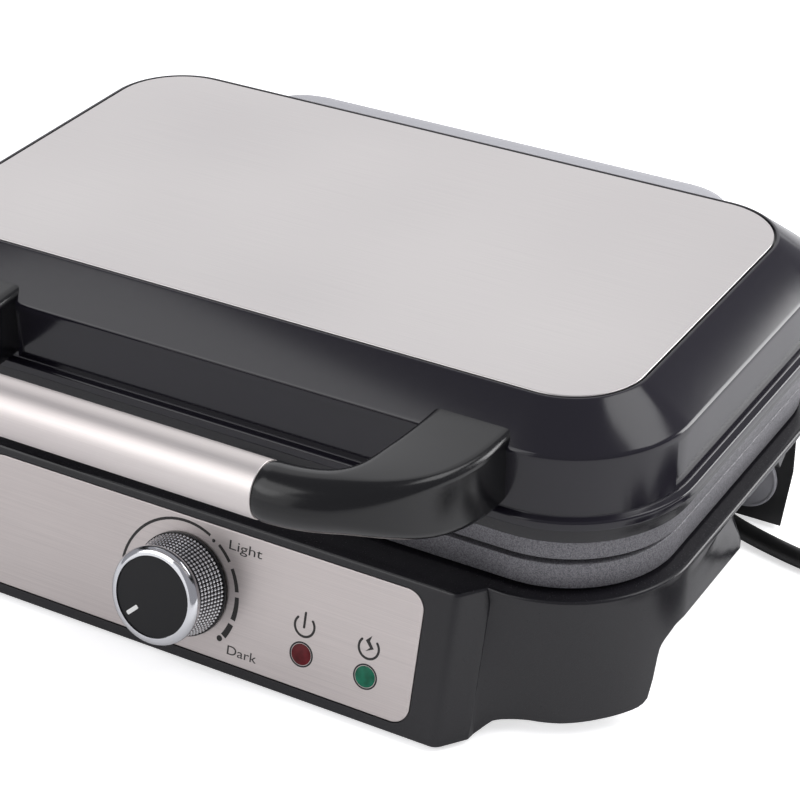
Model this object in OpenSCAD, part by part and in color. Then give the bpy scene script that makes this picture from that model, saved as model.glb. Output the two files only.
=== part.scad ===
// Waffle maker: hinged lid, two cast cooking plates, thermostat knob and a mains lead.
// Millimetres, +Z up, X across the front, the front faces -Y. The origin is on the surface it
// stands on, under the middle of its footprint.

/* [Lid] */
// Width of the steel panel in the lid
panel_w = 274.4; // [240:1:320]
// Depth of the steel panel in the lid
panel_d = 153.2; // [140:1:190]
// Corner radius of the steel panel
panel_r = 26; // [16:1:34]
// Thickness of the steel panel
panel_t = 0.8; // [0.5:0.1:1.2]
// Run of the sloping edge from the panel out to the lid's wall
bevel_run = 17.9; // [12:0.1:22]
// Height of the sloping edge
bevel_h = 12.3; // [8:0.1:16]
// Height of the lid's upright wall
lid_wall_h = 21.9; // [18:0.1:30]
// Height of the rounded lip round the lid's lower edge
lip_h = 4; // [3:0.1:6]
// How far the lip stands out from the wall
lip_out = 2.4; // [1:0.1:3.5]
// Wall thickness of the moulded housings
wall = 2.8; // [2.2:0.1:3.4]
// Depth of the shallow recesses in the lid's wall
recess = 1.5; // [0.8:0.1:1.8]
// Height of the frame between the lid and the upper plate
frame_h = 5.6; // [5:0.1:9]

/* [Cooking plates] */
// Height of the upper plate's edge
upper_h = 7.6; // [7:0.1:12]
// Height of the lower plate's edge
lower_h = 12.3; // [11:0.1:16]
// Gap between the closed plates
mouth = 0.3; // [0.3:0.1:1.5]
// How far the gap opens towards the front edge
mouth_front = 1.6; // [0:0.1:2]
// Lift of the lower plate over the housing's rim
plate_lift = 1.2; // [0.6:0.1:3]
// Thickness of a plate under its baking field
plate_t = 3.4; // [3:0.1:4]
// Width of one baking field
field_w = 122; // [100:1:125]
// Depth of one baking field
field_d = 132; // [100:1:140]
// Web between the two baking fields
field_web = 9; // [6:1:14]
// Grid posts across one field
posts_x = 5; // [3:1:6]
// Grid posts front to back in one field
posts_y = 5; // [3:1:6]
// Height of the grid posts
post_h = 4; // [2:0.1:4.2]
// Side of a grid post at its foot
post_w = 13; // [8:0.5:14]
// Diameter of the heating elements
element_d = 6.6; // [5:0.1:7]

/* [Base] */
// Height of the rim that carries the lower plate
rim_h = 54.8; // [50:0.1:64]
// Overhang of the base's wall beyond the panel's outline
base_run = 20; // [19:0.1:24]
// Height of the skirt's lower edge at the front corners
skirt_z = 5.4; // [4:0.1:9]
// Height of the wall's lower edge along the sides
side_z = 34; // [26:1:38]
// Height of the feet under the housing
foot_h = 2; // [2:0.1:4]
// Radius of the rubber feet
foot_r = 7; // [5:0.5:8]

/* [Control nose] */
// Width of the nose's sloping front face
face_w = 200.6; // [190:0.2:210]
// Angle of the front face from upright
face_tilt = 15.8; // [10:0.1:22]
// Reach of the face's lower edge in front of the lid's centre
nose_reach = 120.1; // [117:0.1:126]
// Width of the steel front plate
fascia_w = 177.6; // [170:0.2:186]
// Length of the steel front plate up the slope
fascia_l = 47.3; // [44:0.1:49]
// Thickness of the steel front plate
fascia_t = 1.2; // [0.8:0.1:1.4]
// Depth kept behind the front face for the controls
control_depth = 36.1; // [34:0.1:40]

/* [Knob and lamps] */
// Offset of the knob from the middle of the front
dial_x = -3.5; // [-20:0.1:0]
// Height of the knob's centre up the face
dial_s = 27; // [22:0.1:30]
// Outer radius of the knob's polished bezel
bezel_r = 17.6; // [14:0.1:19]
// Outer radius of the knurled drum at its front
drum_r = 16.3; // [12:0.1:16.5]
// How much wider the drum is at the front plate
drum_flare = 2; // [0:0.1:2.5]
// How far the knob stands out from the front plate
knob_h = 18.3; // [14:0.1:20]
// Radius of the thermostat's shaft
shaft_r = 3; // [2.5:0.1:3.5]
// Rest angle of the pointer, anticlockwise from +X on the face
pointer_a = 221; // [190:1:240]
// Radius of the two lamp lenses
lens_r = 4; // [3:0.1:5]
// Place of the red lens across the face
red_x = 46.2; // [40:0.1:50]
// Place of the green lens across the face
green_x = 71.1; // [64:0.1:76]
// Height of both lenses up the face
lens_s = 16.6; // [14:0.1:22]

/* [Handle] */
// Radius of the handle's steel tube
tube_r = 9.7; // [8:0.1:11]
// Wall of the steel tube
tube_t = 1; // [0.8:0.1:1.5]
// Length of the steel tube
tube_l = 110; // [90:1:130]
// Reach of the handle's axis in front of the lid's centre
handle_reach = 147; // [143:0.1:160]
// Height of the handle's axis over the lid wall's lower edge
handle_up = 18.2; // [15:0.1:20]
// Distance of a handle root from the middle
root_x = 96; // [90:0.5:102]
// Half width of a handle root
root_hw = 14.8; // [12:0.1:16]
// Half height of a handle root
root_hh = 12.6; // [11:0.1:13.4]

/* [Hinge] */
// Distance of the hinge axis behind the lid's centre
hinge_y = 108; // [106:0.1:114]
// Height of the hinge axis over the rim
hinge_up = 5.2; // [2:0.1:8]
// Radius of the hinge pins
pin_r = 3; // [2.5:0.1:4]
// Radius of the lid hinge's barrel
barrel_r = 11; // [9:0.1:11.4]
// Inset of the hinge housing's ends from the panel's ends
hump_in = 35.7; // [30:0.1:45]
// Thickness of a hinge ear
ear_t = 10; // [7:0.5:12]
// Reach of the hinge ears and housing behind the axis
ear_r = 12; // [10:0.1:12.5]

/* [Mains lead] */
// Diameter of the mains lead
cord_d = 7; // [6:0.1:8]
// Number of facets round the lead
cord_n = 10; // [8:1:12]

/* [Fits] */
// Running clearance on a shaft or hinge pin, on the radius
run_fit = 0.05; // [0.02:0.01:0.1]
// Side clearance between moving pieces
side_gap = 0.5; // [0.3:0.1:1]
// Clearance round a piece let into a recess
seat_gap = 0.3; // [0.2:0.1:0.5]
// Clearance on the radius of a screw in its hole
screw_fit = 0.1; // [0.05:0.01:0.2]

/* [Hidden] */
$fn = 64;
eps = 0.5;
corner_n = 10;

// Half sizes of the steel panel, which every outline is offset from
hx = panel_w / 2;
hy = panel_d / 2;

// Heights of the stack
plate_z0 = rim_h + plate_lift;
plate_z1 = plate_z0 + lower_h;
upper_z0 = plate_z1 + mouth;
upper_z1 = upper_z0 + upper_h;
lip_z0 = upper_z1 + frame_h;
lip_z1 = lip_z0 + lip_h;
shoulder_z = lip_z1 + lid_wall_h;
top_z = shoulder_z + bevel_h;
deck_t = 2.8;
deck_z0 = rim_h - deck_t;

// Offsets of the outlines from the panel's own
lid_run = bevel_run;
frame_run = lid_run + 0.1;
upper_run = lid_run - 0.4;
upper_draft = 1.5;
lower_run = base_run - 4;
lower_draft = 2;
rim_run = base_run - 2;

// Places shared by several pieces
hinge_z = rim_h + hinge_up;
hump_w = panel_w - 2 * hump_in;
ear_back = hinge_y + ear_r;
handle_z = lip_z1 + handle_up;
handle_front = handle_reach + tube_r;
plate_y = (handle_front - ear_back) / 2;
base_front = hy + base_run;
base_back = hy + base_run;
face_l = (rim_h - foot_h) / cos(face_tilt);
fascia_s0 = 4.3;
field_x = (field_web + field_w) / 2;
pan_t = 2;
pan_z = 30;
pan_flare_x = 22;
pan_flare_y = 4;
leg_y = 60;
leg_d = 32;
pan_front = nose_reach - control_depth;
pan_back = leg_y - 4 - pan_flare_y;
pan_y = (pan_back - pan_front) / 2;
pan_d = (pan_back + pan_front) / 2;
box_x0 = 40;
box_x1 = 88;
box_y0 = 37;
box_y1 = 71;
box_z0 = 3;
leg_x0 = hx - 25.2;
leg_x1 = hx + 13.3;
leg_taper = 20.5;
loop_hx = 96;
loop_hy = 42;
loop_r = 22;
reflector_hx = 124;
reflector_hy = 50;
reflector_h = 10;
reflector_t = 0.8;
screw_r = 1.6;
head_r = 3;
head_h = 1.6;
cap_r = 13.1;
cap_z = 20.2;
cap_x = leg_x1 - 19;
gland_y = 54;
gland_z = 10.2;
gland_l = 22;
coil_c = [236, 0];
coil_r = 38.5;
tie_t = 0.8;

// Route of the lead's open stretches, measured from the lid's centre and the floor
route_in = [[110, 54, 10.2], [114, 53.9, 9.5], [118, 53.3, 8.4], [122, 52.2, 7.1], [126, 50.6, 6],
    [130.5, 49.4, 5], [135, 48.2, 4.3], [143, 46.1, 3.7], [152, 43.8, 3.6], [161.5, 41.4, 3.6],
    [172, 40, 3.6], [184, 39.6, 3.6], [197, 39.9, 3.7], [210, 40.6, 4], [222, 41.5, 4.3],
    [229, 41.7, 4.3]];
route_out = [[278, -2, 11.3], [278, -10, 11.2], [277.6, -18, 10.4], [276.6, -26, 9.2],
    [275, -34, 8.2], [273, -42, 7.6], [271, -50, 7.3]];
plug_at = [271, -50, 7.3];
plug_a = 14;

// Outline of a rounded rectangle, offset by o from the panel's outline
function outline(o, z) = rr(hx + o, hy + o, max(panel_r + o, 1), z);
function rr(a, b, r, z) = [for (q = [0:3]) for (i = [0:corner_n])
    let (t = 90 * (q + i / corner_n), sx = (q == 0 || q == 3) ? 1 : -1, sy = q < 2 ? 1 : -1)
    [sx * (a - r) + r * cos(t), sy * (b - r) + r * sin(t), z]];
function flat(p) = [for (v = p) [v[0], v[1]]];
function shift_y(p, d) = [for (v = p) [v[0], v[1] + d, v[2]]];
function ease(t) = t * t * (3 - 2 * t);
function clamp01(t) = min(1, max(0, t));
function unit(v) = v / norm(v);

// Closed skin through rings of equal point counts, anticlockwise seen against the stacking
module skin(rings) {
    n = len(rings[0]);
    m = len(rings);
    sides = [for (i = [0:m - 2]) for (j = [0:n - 1])
        let (a = i * n + j, b = i * n + (j + 1) % n) each [[a, a + n, b], [b, a + n, b + n]]];
    first = [[for (j = [0:n - 1]) j]];
    last = [[for (j = [n - 1:-1:0]) (m - 1) * n + j]];
    polyhedron([for (r = rings) each r], concat(first, sides, last));
}

// Straight-sided slab of an outline between two heights
module slab(o, z0, z1) {
    translate([0, 0, z0]) linear_extrude(z1 - z0) polygon(flat(outline(o, 0)));
}

// Everything on the lid and base is measured from the middle of the lid's panel
module about_lid() {
    translate([0, plate_y, 0]) children();
}

// The sloping front face: x across, s up the slope, off out of the face
module on_face(x, s, off) {
    about_lid() translate([0, -nose_reach, foot_h]) rotate([90 - face_tilt, 0, 0])
        translate([x, s, off]) children();
}

module mirror_x() {
    children();
    mirror([1, 0, 0]) children();
}

// Pan-head screw with its head's seat at z = 0 and its shank below
module screw(length) {
    rotate_extrude() polygon([[0, -length], [screw_r, -length], [screw_r, 0], [head_r, 0],
        [head_r, head_h * 0.6], [head_r * 0.6, head_h], [0, head_h]]);
}

module screw_hole(length) {
    translate([0, 0, -length]) cylinder(r = screw_r + screw_fit, h = length + 1);
}

// ---- base ----

nose_side = face_w / 2;
nose_back = nose_side + 7.2;
function nose_outline(y_face, z, inset) = let (w = nose_side - inset, b = nose_back - inset)
    [[-b, -hy, z], [-b, y_face + 9.3 + inset / 2, z], [-w, y_face + inset, z],
    [w, y_face + inset, z], [b, y_face + 9.3 + inset / 2, z], [b, -hy, z]];

module nose_form(inset, z0, z1) {
    tan_t = tan(face_tilt);
    skin([nose_outline(-nose_reach + (z0 - foot_h) * tan_t, z0, inset),
        nose_outline(-nose_reach + (z1 - foot_h) * tan_t, z1, inset)]);
}

// Side view of what is cut out of each side wall, as y and z from front to back
module side_cut() {
    far = base_back + 20;
    polygon([[-base_front - 5, -5], [-base_front - 5, skirt_z], [-92, skirt_z], [-84, 6.5],
        [-78, 7.3], [-72.5, 9.3], [-68.4, 15], [-66.4, 22.5], [-65, side_z - 6],
        [-60.5, side_z - 2], [-56, side_z], [-6, side_z], [-4, side_z + 2], [-3, 44], [-2, deck_z0],
        [28, deck_z0], [37, 46], [40.5, 40], [46, 44], [50, deck_z0], [far, deck_z0], [far, -5]]);
}

module base_housing() {
    color("#2e2d31") difference() {
        about_lid() difference() {
            union() {
                slab(base_run, skirt_z, rim_h - 1.3);
                skin([outline(base_run, rim_h - 1.3), outline(rim_run, rim_h)]);
                nose_form(0, foot_h, rim_h);
            }
            slab(base_run - wall, -1, deck_z0);
            slab(4, deck_z0 - 1, rim_h + 1);
            nose_form(wall + 0.6, -1, deck_z0);
            mirror_x() translate([leg_x0 + 3, 0, 0]) rotate([90, 0, 90])
                linear_extrude(hx) side_cut();
            translate([-hx, hy, -1]) cube([2 * hx, 30, skirt_z + 3]);
        }
        fascia_recess();
        on_face(dial_x, dial_s, -wall * 3) cylinder(r = shaft_r + 2.1, h = wall * 4);
        for (x = [red_x, green_x])
            on_face(x, lens_s, -wall * 3) cylinder(r = lens_r + 0.15, h = wall * 4);
        about_lid() mirror_x() ear_holes();
        about_lid() mirror_x() leg_holes();
    }
}

module fascia_form(grow) {
    r = 6;
    w = fascia_w / 2 - r;
    l = fascia_l - 2 * r;
    hull() for (x = [-w, w], s = [0, l]) translate([x, s + r, 0]) circle(r = r + grow, $fn = 32);
}

module fascia_recess() {
    on_face(0, fascia_s0, -fascia_t) linear_extrude(5) fascia_form(seat_gap);
}

module front_plate() {
    color("#bdb6b2") difference() {
        on_face(0, fascia_s0, -fascia_t) linear_extrude(fascia_t)
            fascia_form(0);
        on_face(dial_x, dial_s, -5) cylinder(r = shaft_r + 2.1, h = 10);
        for (x = [red_x, green_x]) on_face(x, lens_s, -5) cylinder(r = lens_r + 0.15, h = 10);
    }
}

// Tray that closes the underside and carries the terminals
module pan_form(inset, top) {
    back_w = hump_w / 2 - 8 - inset;
    skin([shift_y(rr(hx - 12 - inset, pan_d - inset, 20 - inset, pan_z + inset), pan_y),
        shift_y(rr(hx - 12 + pan_flare_x - inset, pan_d + pan_flare_y - inset, 30 - inset, top),
            pan_y)]);
    translate([-back_w, 30, pan_z + inset])
        cube([2 * back_w, base_back - wall - 0.8 - 30 - inset, top - pan_z - inset]);
}

module bottom_pan() {
    color("#1d1d1f") about_lid() difference() {
        pan_form(0, deck_z0);
        pan_form(pan_t, deck_z0 + 1);
        translate([box_x0 + 8, box_y0 + 8, pan_z - 1])
            cube([box_x1 - box_x0 - 16, box_y1 - box_y0 - 16, pan_t + 2]);
        for (p = pan_screws) translate([p[0], p[1], pan_z]) rotate([180, 0, 0])
            screw_hole(pan_t + 1);
    }
}

// Box under the tray where the lead comes in
module terminal_box() {
    w = box_x1 - box_x0;
    d = box_y1 - box_y0;
    color("#1d1d1f") about_lid() difference() {
        translate([box_x0, box_y0, box_z0]) cube([w, d, pan_z - box_z0]);
        translate([box_x0 + pan_t, box_y0 + pan_t, box_z0 + pan_t])
            cube([w - 2 * pan_t, d - 2 * pan_t, pan_z]);
    }
}

pan_screws = [[-80, -60], [80, -60], [-80, 80], [80, 80], [0, -60], [0, 80]];

module base_screws() {
    color("silver") about_lid() for (p = pan_screws) translate([p[0], p[1], pan_z])
        rotate([180, 0, 0]) screw(8);
}

module nose_cover() {
    lip_y = pan_y - pan_d + pan_t;
    color("#1d1d1f") about_lid() difference() {
        union() {
            translate([-nose_side + 5, -nose_reach + 5, foot_h]) cube([2 * nose_side - 10,
                nose_reach - 5 + lip_y, 2.4]);
            translate([-nose_side + 5, lip_y - pan_t, foot_h])
                cube([2 * nose_side - 10, pan_t, pan_z - foot_h]);
        }
        mirror_x() foot_at(front_foot) foot_pin(0.1);
    }
}

front_foot = [nose_side - 18.3, 16 - nose_reach, foot_h];
rear_foot = [leg_x0 + 11, leg_y + 22, foot_h];

module foot_at(p) {
    translate(p) children();
}

module foot_pin(grow) {
    translate([0, 0, -eps]) cylinder(r = 2 + grow, h = 2.4 + eps + grow);
}

module rubber_feet() {
    color("#151515") about_lid() for (p = [front_foot, rear_foot]) mirror_x() foot_at(p) {
        translate([0, 0, -foot_h]) cylinder(r = foot_r, h = foot_h);
        cylinder(r = 2, h = 2);
    }
}

// Hollow rear leg, narrowing towards the back
function leg_outline(x1, z, inset) = [[leg_x0 + inset, leg_y + leg_d - inset, z],
    [leg_x0 + inset, leg_y + inset, z], [x1 - 2 * inset, leg_y + inset, z],
    [x1 - leg_taper - inset, leg_y + leg_d - inset, z]];

module leg_form(inset, z0, z1) {
    skin([leg_outline(leg_x1 - 3.2, z0, inset), leg_outline(leg_x1, 27, inset),
        leg_outline(leg_x1, z1, inset)]);
}

module rear_leg() {
    color("#1b1b1d") difference() {
        leg_form(0, foot_h, deck_z0);
        leg_form(2.5, foot_h + 3, deck_z0 + 1);
        foot_at(rear_foot) foot_pin(0.1);
        translate([cap_x, leg_y - 1, cap_z]) rotate([-90, 0, 0])
            cylinder(r = cap_r - 5, h = 10);
        leg_holes();
    }
}

// Screws through the leg's top flange are driven up into the deck
module leg_holes() {
    translate([leg_x0 + 12, leg_y + 20, deck_z0 + 2]) screw_hole(0.01);
}

module rear_leg_right() {
    about_lid() rear_leg();
}

module rear_leg_left() {
    about_lid() mirror([1, 0, 0]) rear_leg();
}

module leg_caps() {
    color("#b9b9bd") about_lid() mirror_x() translate([cap_x, leg_y, cap_z]) rotate([90, 0, 0]) {
        cylinder(r = cap_r, h = 1.6);
        translate([0, 0, -2.5]) cylinder(r = cap_r - 5 - screw_fit, h = 3);
    }
}

// ---- hinge ----

ear_x = hump_w / 2 + side_gap;

module ear() {
    z0 = 20;
    color("#232326") difference() {
        translate([ear_x, 0, 0]) rotate([90, 0, 90]) linear_extrude(ear_t) union() {
            translate([hinge_y, hinge_z]) circle(r = ear_r);
            polygon([[base_back, z0], [base_back + 8, z0], [ear_back, z0 + 18],
                [ear_back, hinge_z], [base_back, hinge_z]]);
        }
        translate([ear_x - 1, hinge_y, hinge_z]) rotate([0, 90, 0])
            cylinder(r = pin_r, h = ear_t + 2);
        ear_holes();
    }
}

module ear_holes() {
    for (z = [26, 44]) translate([ear_x + ear_t / 2, base_back - wall, z])
        rotate([90, 0, 0]) screw_hole(9);
}

module hinge_ear_right() {
    about_lid() ear();
}

module hinge_ear_left() {
    about_lid() mirror([1, 0, 0]) ear();
}

module ear_screws() {
    color("silver") about_lid() mirror_x() for (z = [26, 44])
        translate([ear_x + ear_t / 2, base_back - wall, z]) rotate([90, 0, 0]) screw(8);
}

module hinge_pins() {
    color("#a8a8ac") about_lid() mirror_x() translate([ear_x - 22, hinge_y, hinge_z])
        rotate([0, 90, 0]) cylinder(r = pin_r, h = 22 + ear_t);
}

// ---- cooking plates and heating ----

module posts(z0, up) {
    for (side = [-1, 1], i = [1:posts_x], j = [1:posts_y])
        translate([side * field_x + field_w * (i / (posts_x + 1) - 0.5),
            field_d * (j / (posts_y + 1) - 0.5), z0])
            mirror([0, 0, up ? 0 : 1]) linear_extrude(post_h, scale = 0.7)
                square(post_w, center = true);
}

module fields(z0, z1) {
    for (side = [-1, 1]) translate([side * field_x, 0, z0]) linear_extrude(z1 - z0) union() {
        square([field_w, field_d - 12], center = true);
        square([field_w - 12, field_d], center = true);
        for (x = [-1, 1], y = [-1, 1]) translate([x * (field_w / 2 - 6), y * (field_d / 2 - 6)])
            circle(r = 6);
    }
}

boss_at = [-58, 58];

module lower_plate() {
    floor_z = plate_z0 + plate_t;
    color("#4b4b4d") about_lid() difference() {
        union() {
            difference() {
                skin([outline(lower_run - lower_draft, plate_z0), outline(lower_run, plate_z1)]);
                fields(floor_z, plate_z1 + 1);
                mouth_wedge();
            }
            posts(floor_z - 0.1, true);
            difference() {
                slab(lower_run - lower_draft - 2, rim_h, plate_z0 + 1);
                slab(6, rim_h - 1, plate_z0 + 2);
            }
            for (x = boss_at) translate([x, 0, plate_z0 - reflector_h + reflector_t])
                cylinder(r = 5, h = reflector_h);
        }
        for (x = boss_at) translate([x, 0, plate_z0 - reflector_h]) rotate([180, 0, 0])
            screw_hole(8);
    }
}

// The plates' gap widens over the front few centimetres
module mouth_wedge() {
    translate([-hx * 2, 0, 0]) rotate([90, 0, 90]) linear_extrude(hx * 4)
        polygon([[-hy - lower_run - 1, plate_z1 - mouth_front], [-hy - 1, plate_z1 - mouth_front],
            [-hy + 26, plate_z1 + 0.01], [-hy + 26, plate_z1 + 5], [-hy - lower_run - 1,
            plate_z1 + 5]]);
}

module upper_plate() {
    floor_z = upper_z1 - plate_t;
    color("#4b4b4d") about_lid() difference() {
        union() {
            difference() {
                skin([outline(upper_run - upper_draft, upper_z0), outline(upper_run, upper_z1)]);
                fields(upper_z0 - 1, floor_z);
            }
            posts(floor_z + 0.1, false);
            for (x = boss_at) translate([x, 0, upper_z1 - 1]) cylinder(r = 5, h = reflector_h);
        }
        for (x = boss_at) translate([x, 0, upper_z1 + reflector_h]) screw_hole(9);
    }
}

// Tubular element bent to a rounded loop, lying on a plate's back
module element_loop() {
    a = loop_hx;
    b = loop_hy;
    r = loop_r;
    er = element_d / 2;
    for (s = [-1, 1]) {
        translate([-(a - r), s * b, 0]) rotate([0, 90, 0]) cylinder(r = er, h = 2 * (a - r));
        translate([s * a, -(b - r), 0]) rotate([-90, 0, 0]) cylinder(r = er, h = 2 * (b - r));
    }
    for (q = [0:3]) translate([(q == 0 || q == 3 ? 1 : -1) * (a - r),
        (q < 2 ? 1 : -1) * (b - r), 0]) rotate([0, 0, 90 * q]) rotate_extrude(angle = 90)
            translate([r, 0]) circle(r = er);
}

module lower_element() {
    color("#6e655c") about_lid() translate([0, 0, plate_z0 - element_d / 2]) element_loop();
}

module upper_element() {
    color("#6e655c") about_lid() translate([0, 0, upper_z1 + element_d / 2]) element_loop();
}

// Bright sheet-metal cover behind an element, open towards the plate
module reflector() {
    difference() {
        linear_extrude(reflector_h) square([2 * reflector_hx, 2 * reflector_hy], center = true);
        translate([0, 0, -1]) linear_extrude(reflector_h + 1 - reflector_t)
            square(2 * [reflector_hx - reflector_t, reflector_hy - reflector_t], center = true);
        for (x = boss_at) translate([x, 0, reflector_h]) screw_hole(4);
    }
}

module upper_reflector() {
    color("#c9cacc") about_lid() translate([0, 0, upper_z1]) reflector();
}

module lower_reflector() {
    color("#c9cacc") about_lid() translate([0, 0, plate_z0]) mirror([0, 0, 1]) reflector();
}

module upper_plate_screws() {
    color("silver") about_lid() for (x = boss_at) translate([x, 0, upper_z1 + reflector_h])
        screw(8);
}

module lower_plate_screws() {
    color("silver") about_lid() for (x = boss_at) translate([x, 0, plate_z0 - reflector_h])
        rotate([180, 0, 0]) screw(8);
}

module thermal_fuse() {
    color("#d8d4c8") about_lid() translate([20, -14, plate_z0 - reflector_h - 2.5])
        rotate([0, 90, 0]) cylinder(r = 2.5, h = 18);
}

module terminal_block() {
    color("#e6e2d6") about_lid() translate([box_x0 + 11, box_y0 + 8, box_z0 + pan_t])
        cube([26, 18, 12]);
}

// ---- controls ----

module thermostat_body() {
    color("#d9d3c4") difference() {
        on_face(dial_x, dial_s, -wall - 0.6 - 16) translate([-14, -14, 0]) cube([28, 28, 16]);
        on_face(dial_x, dial_s, -wall * 2 - 18) cylinder(r = shaft_r + 1.9 + screw_fit, h = 30);
    }
}

module thermostat_bushing() {
    color("#b99a52") difference() {
        on_face(dial_x, dial_s, -wall - 0.6 - 15) cylinder(r = shaft_r + 1.9, h = wall + 15.4);
        on_face(dial_x, dial_s, -wall - 20) cylinder(r = shaft_r + run_fit, h = wall + 24);
    }
}

module thermostat_shaft() {
    color("#b9b9bd") on_face(dial_x, dial_s, -wall - 14) cylinder(r = shaft_r, h = wall + 14 + shaft_out);
}

// Levels inside the knob, measured out from the front plate
drum_z0 = 1.2;
drum_z1 = knob_h - 6;
bezel_z = knob_h - 3.9;
hub_r = drum_r - 2.5;
bezel_in = bezel_r - 3.2;
face_t = 0.9;
shaft_out = 11;

module knob_core() {
    color("#1a1a1c") difference() {
        on_face(dial_x, dial_s, 0) rotate_extrude() polygon([[0, side_gap], [drum_r + drum_flare + 0.3,
            side_gap], [drum_r + drum_flare + 0.3, drum_z0], [hub_r, drum_z0], [hub_r, drum_z1],
            [drum_r - 0.6, drum_z1], [drum_r - 0.6, bezel_z], [0, bezel_z]]);
        on_face(dial_x, dial_s, -1) cylinder(r = shaft_r, h = shaft_out + 1);
    }
}

module knob_drum() {
    color("#cfd0d2") on_face(dial_x, dial_s, 0) rotate_extrude() polygon([[hub_r, drum_z0],
        [drum_r + drum_flare, drum_z0], [drum_r, drum_z1], [hub_r, drum_z1]]);
}

module knob_bezel() {
    color("#e4e5e7") on_face(dial_x, dial_s, 0) rotate_extrude() polygon([[hub_r, bezel_z],
        [drum_r, bezel_z], [bezel_r, bezel_z + 0.8], [bezel_r, bezel_z + 1.4],
        [bezel_in + 0.5, knob_h], [bezel_in, knob_h], [bezel_in, knob_h - 1.4],
        [hub_r, knob_h - 1.4]]);
}

module knob_face() {
    color("#55555a") on_face(dial_x, dial_s, knob_h - 1.4) cylinder(r = bezel_in - 0.05, h = face_t);
}

module knob_pointer() {
    color("white") on_face(dial_x, dial_s, knob_h - 1.4 + face_t) rotate([0, 0, pointer_a])
        translate([bezel_r - 10, -0.6, 0]) cube([6, 1.2, 0.2]);
}

// Lens with a collar behind the housing's wall
module lens() {
    rotate_extrude() polygon([[0, -5], [lens_r + 1.5, -5], [lens_r + 1.5, -wall - 0.6],
        [lens_r, -wall - 0.6], [lens_r, 0.2], [lens_r * 0.7, 0.7], [0, 0.9]]);
}

module red_lens() {
    color("#8c2a2c") on_face(red_x, lens_s, 0) lens();
}

module green_lens() {
    color("#1f7a5a") on_face(green_x, lens_s, 0) lens();
}

module lamp_holder() {
    color("#26262a") difference() {
        on_face(red_x - 7, lens_s - 7, -15) cube([green_x - red_x + 14, 14, 10]);
        for (x = [red_x, green_x]) on_face(x, lens_s, -13) cylinder(r = 2.6, h = 10);
    }
}

module neon_lamps() {
    color("#e8b9a0") for (x = [red_x, green_x]) on_face(x, lens_s, -13)
        cylinder(r = 2.5, h = 7.5);
}

// ---- lid ----

module lid_form(inset) {
    o = lid_run - inset;
    slab(o, lip_z0 - (inset > 0 ? 1 : 0), shoulder_z - inset * 0.4);
    skin([outline(o, shoulder_z - inset * 0.4),
        outline(inset > 0 ? -inset : 0.7, top_z - inset)]);
}

// A handle root sits in a pocket with a solid pad behind it
module root_box(grow, y0, y1) {
    translate([root_x - root_hw - grow, y0, handle_root_z - root_hh - grow])
        cube([2 * (root_hw + grow), y1 - y0, 2 * (root_hh + grow)]);
}

root_drop = 4.6;
handle_root_z = handle_z - root_drop;
root_y = -hy - lid_run + 5;

module lid_shell() {
    boss_r = 4.5;
    color("#28272b") about_lid() difference() {
        union() {
            difference() {
                lid_form(0);
                lid_form(wall);
            }
            lip();
            intersection() {
                lid_form(0);
                mirror_x() root_box(3, -hy - lid_run - 1, root_y + 4);
            }
            intersection() {
                lid_form(0);
                for (p = lid_bosses) translate([p[0], p[1], lip_z0]) cylinder(r = boss_r, h = top_z);
            }
        }
        slab(0.4, top_z - panel_t - 0.4, top_z + 1);
        mirror_x() root_box(seat_gap, -hy - lid_run - 5, root_y);
        translate([-root_x + root_hw + seat_gap + 0.1, -hy - lid_run - 5, lip_z1 + 0.4])
            cube([2 * (root_x - root_hw - seat_gap - 0.1), 5 + recess, lid_wall_h - 0.9]);
        mirror_x() translate([hx + lid_run - recess, -60, lip_z1 + 1.2])
            cube([recess + 5, 120, lid_wall_h - 2.4]);
        for (p = lid_bosses) translate([p[0], p[1], lip_z0]) rotate([180, 0, 0]) screw_hole(12);
        mirror_x() handle_screw_at() screw_hole(20);
        mirror_x() block_screw_at() screw_hole(12);
    }
}

module lip() {
    o = lid_run + lip_out;
    difference() {
        skin([outline(lid_run + 0.7, lip_z0), outline(o - 0.3, lip_z0 + 0.8),
            outline(o, lip_z0 + lip_h / 2), outline(o - 0.3, lip_z1 - 0.8),
            outline(lid_run + 0.5, lip_z1)]);
        slab(lid_run - wall, lip_z0 - 1, lip_z1 + 1);
    }
}

boss_x = root_x - 36;
boss_y = hy + 9.5;
lid_bosses = [[-boss_x, -boss_y], [boss_x, -boss_y], [-boss_x, boss_y], [boss_x, boss_y]];

module lid_panel() {
    color("#d6d2d1") about_lid() slab(0, top_z - panel_t - 0.4, top_z);
}

module lid_frame() {
    color("#38373b") about_lid() difference() {
        slab(frame_run, upper_z1, lip_z0);
        slab(frame_run - 2.5, upper_z1 - 1, lip_z0 - 2);
        slab(4, upper_z1 - 1, lip_z0 + 1);
        for (p = lid_bosses) translate([p[0], p[1], lip_z0]) screw_hole(6);
    }
}

module lid_frame_screws() {
    color("silver") about_lid() for (p = lid_bosses) translate([p[0], p[1], lip_z0 - 2])
        rotate([180, 0, 0]) screw(9);
}

hump_top = shoulder_z - 2.2;
hump_back = hinge_y + 10;
hump_wall = 3.2;
hump_end = 16;
block_screws_z = [lip_z1 + 6, hump_top - 5];

module block_screw_at() {
    for (z = block_screws_z) translate([hump_w / 2 - 5, hy + lid_run - wall, z])
        rotate([90, 0, 0]) children();
}

module hinge_block_screws() {
    color("silver") about_lid() mirror_x() block_screw_at() screw(9);
}

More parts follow.
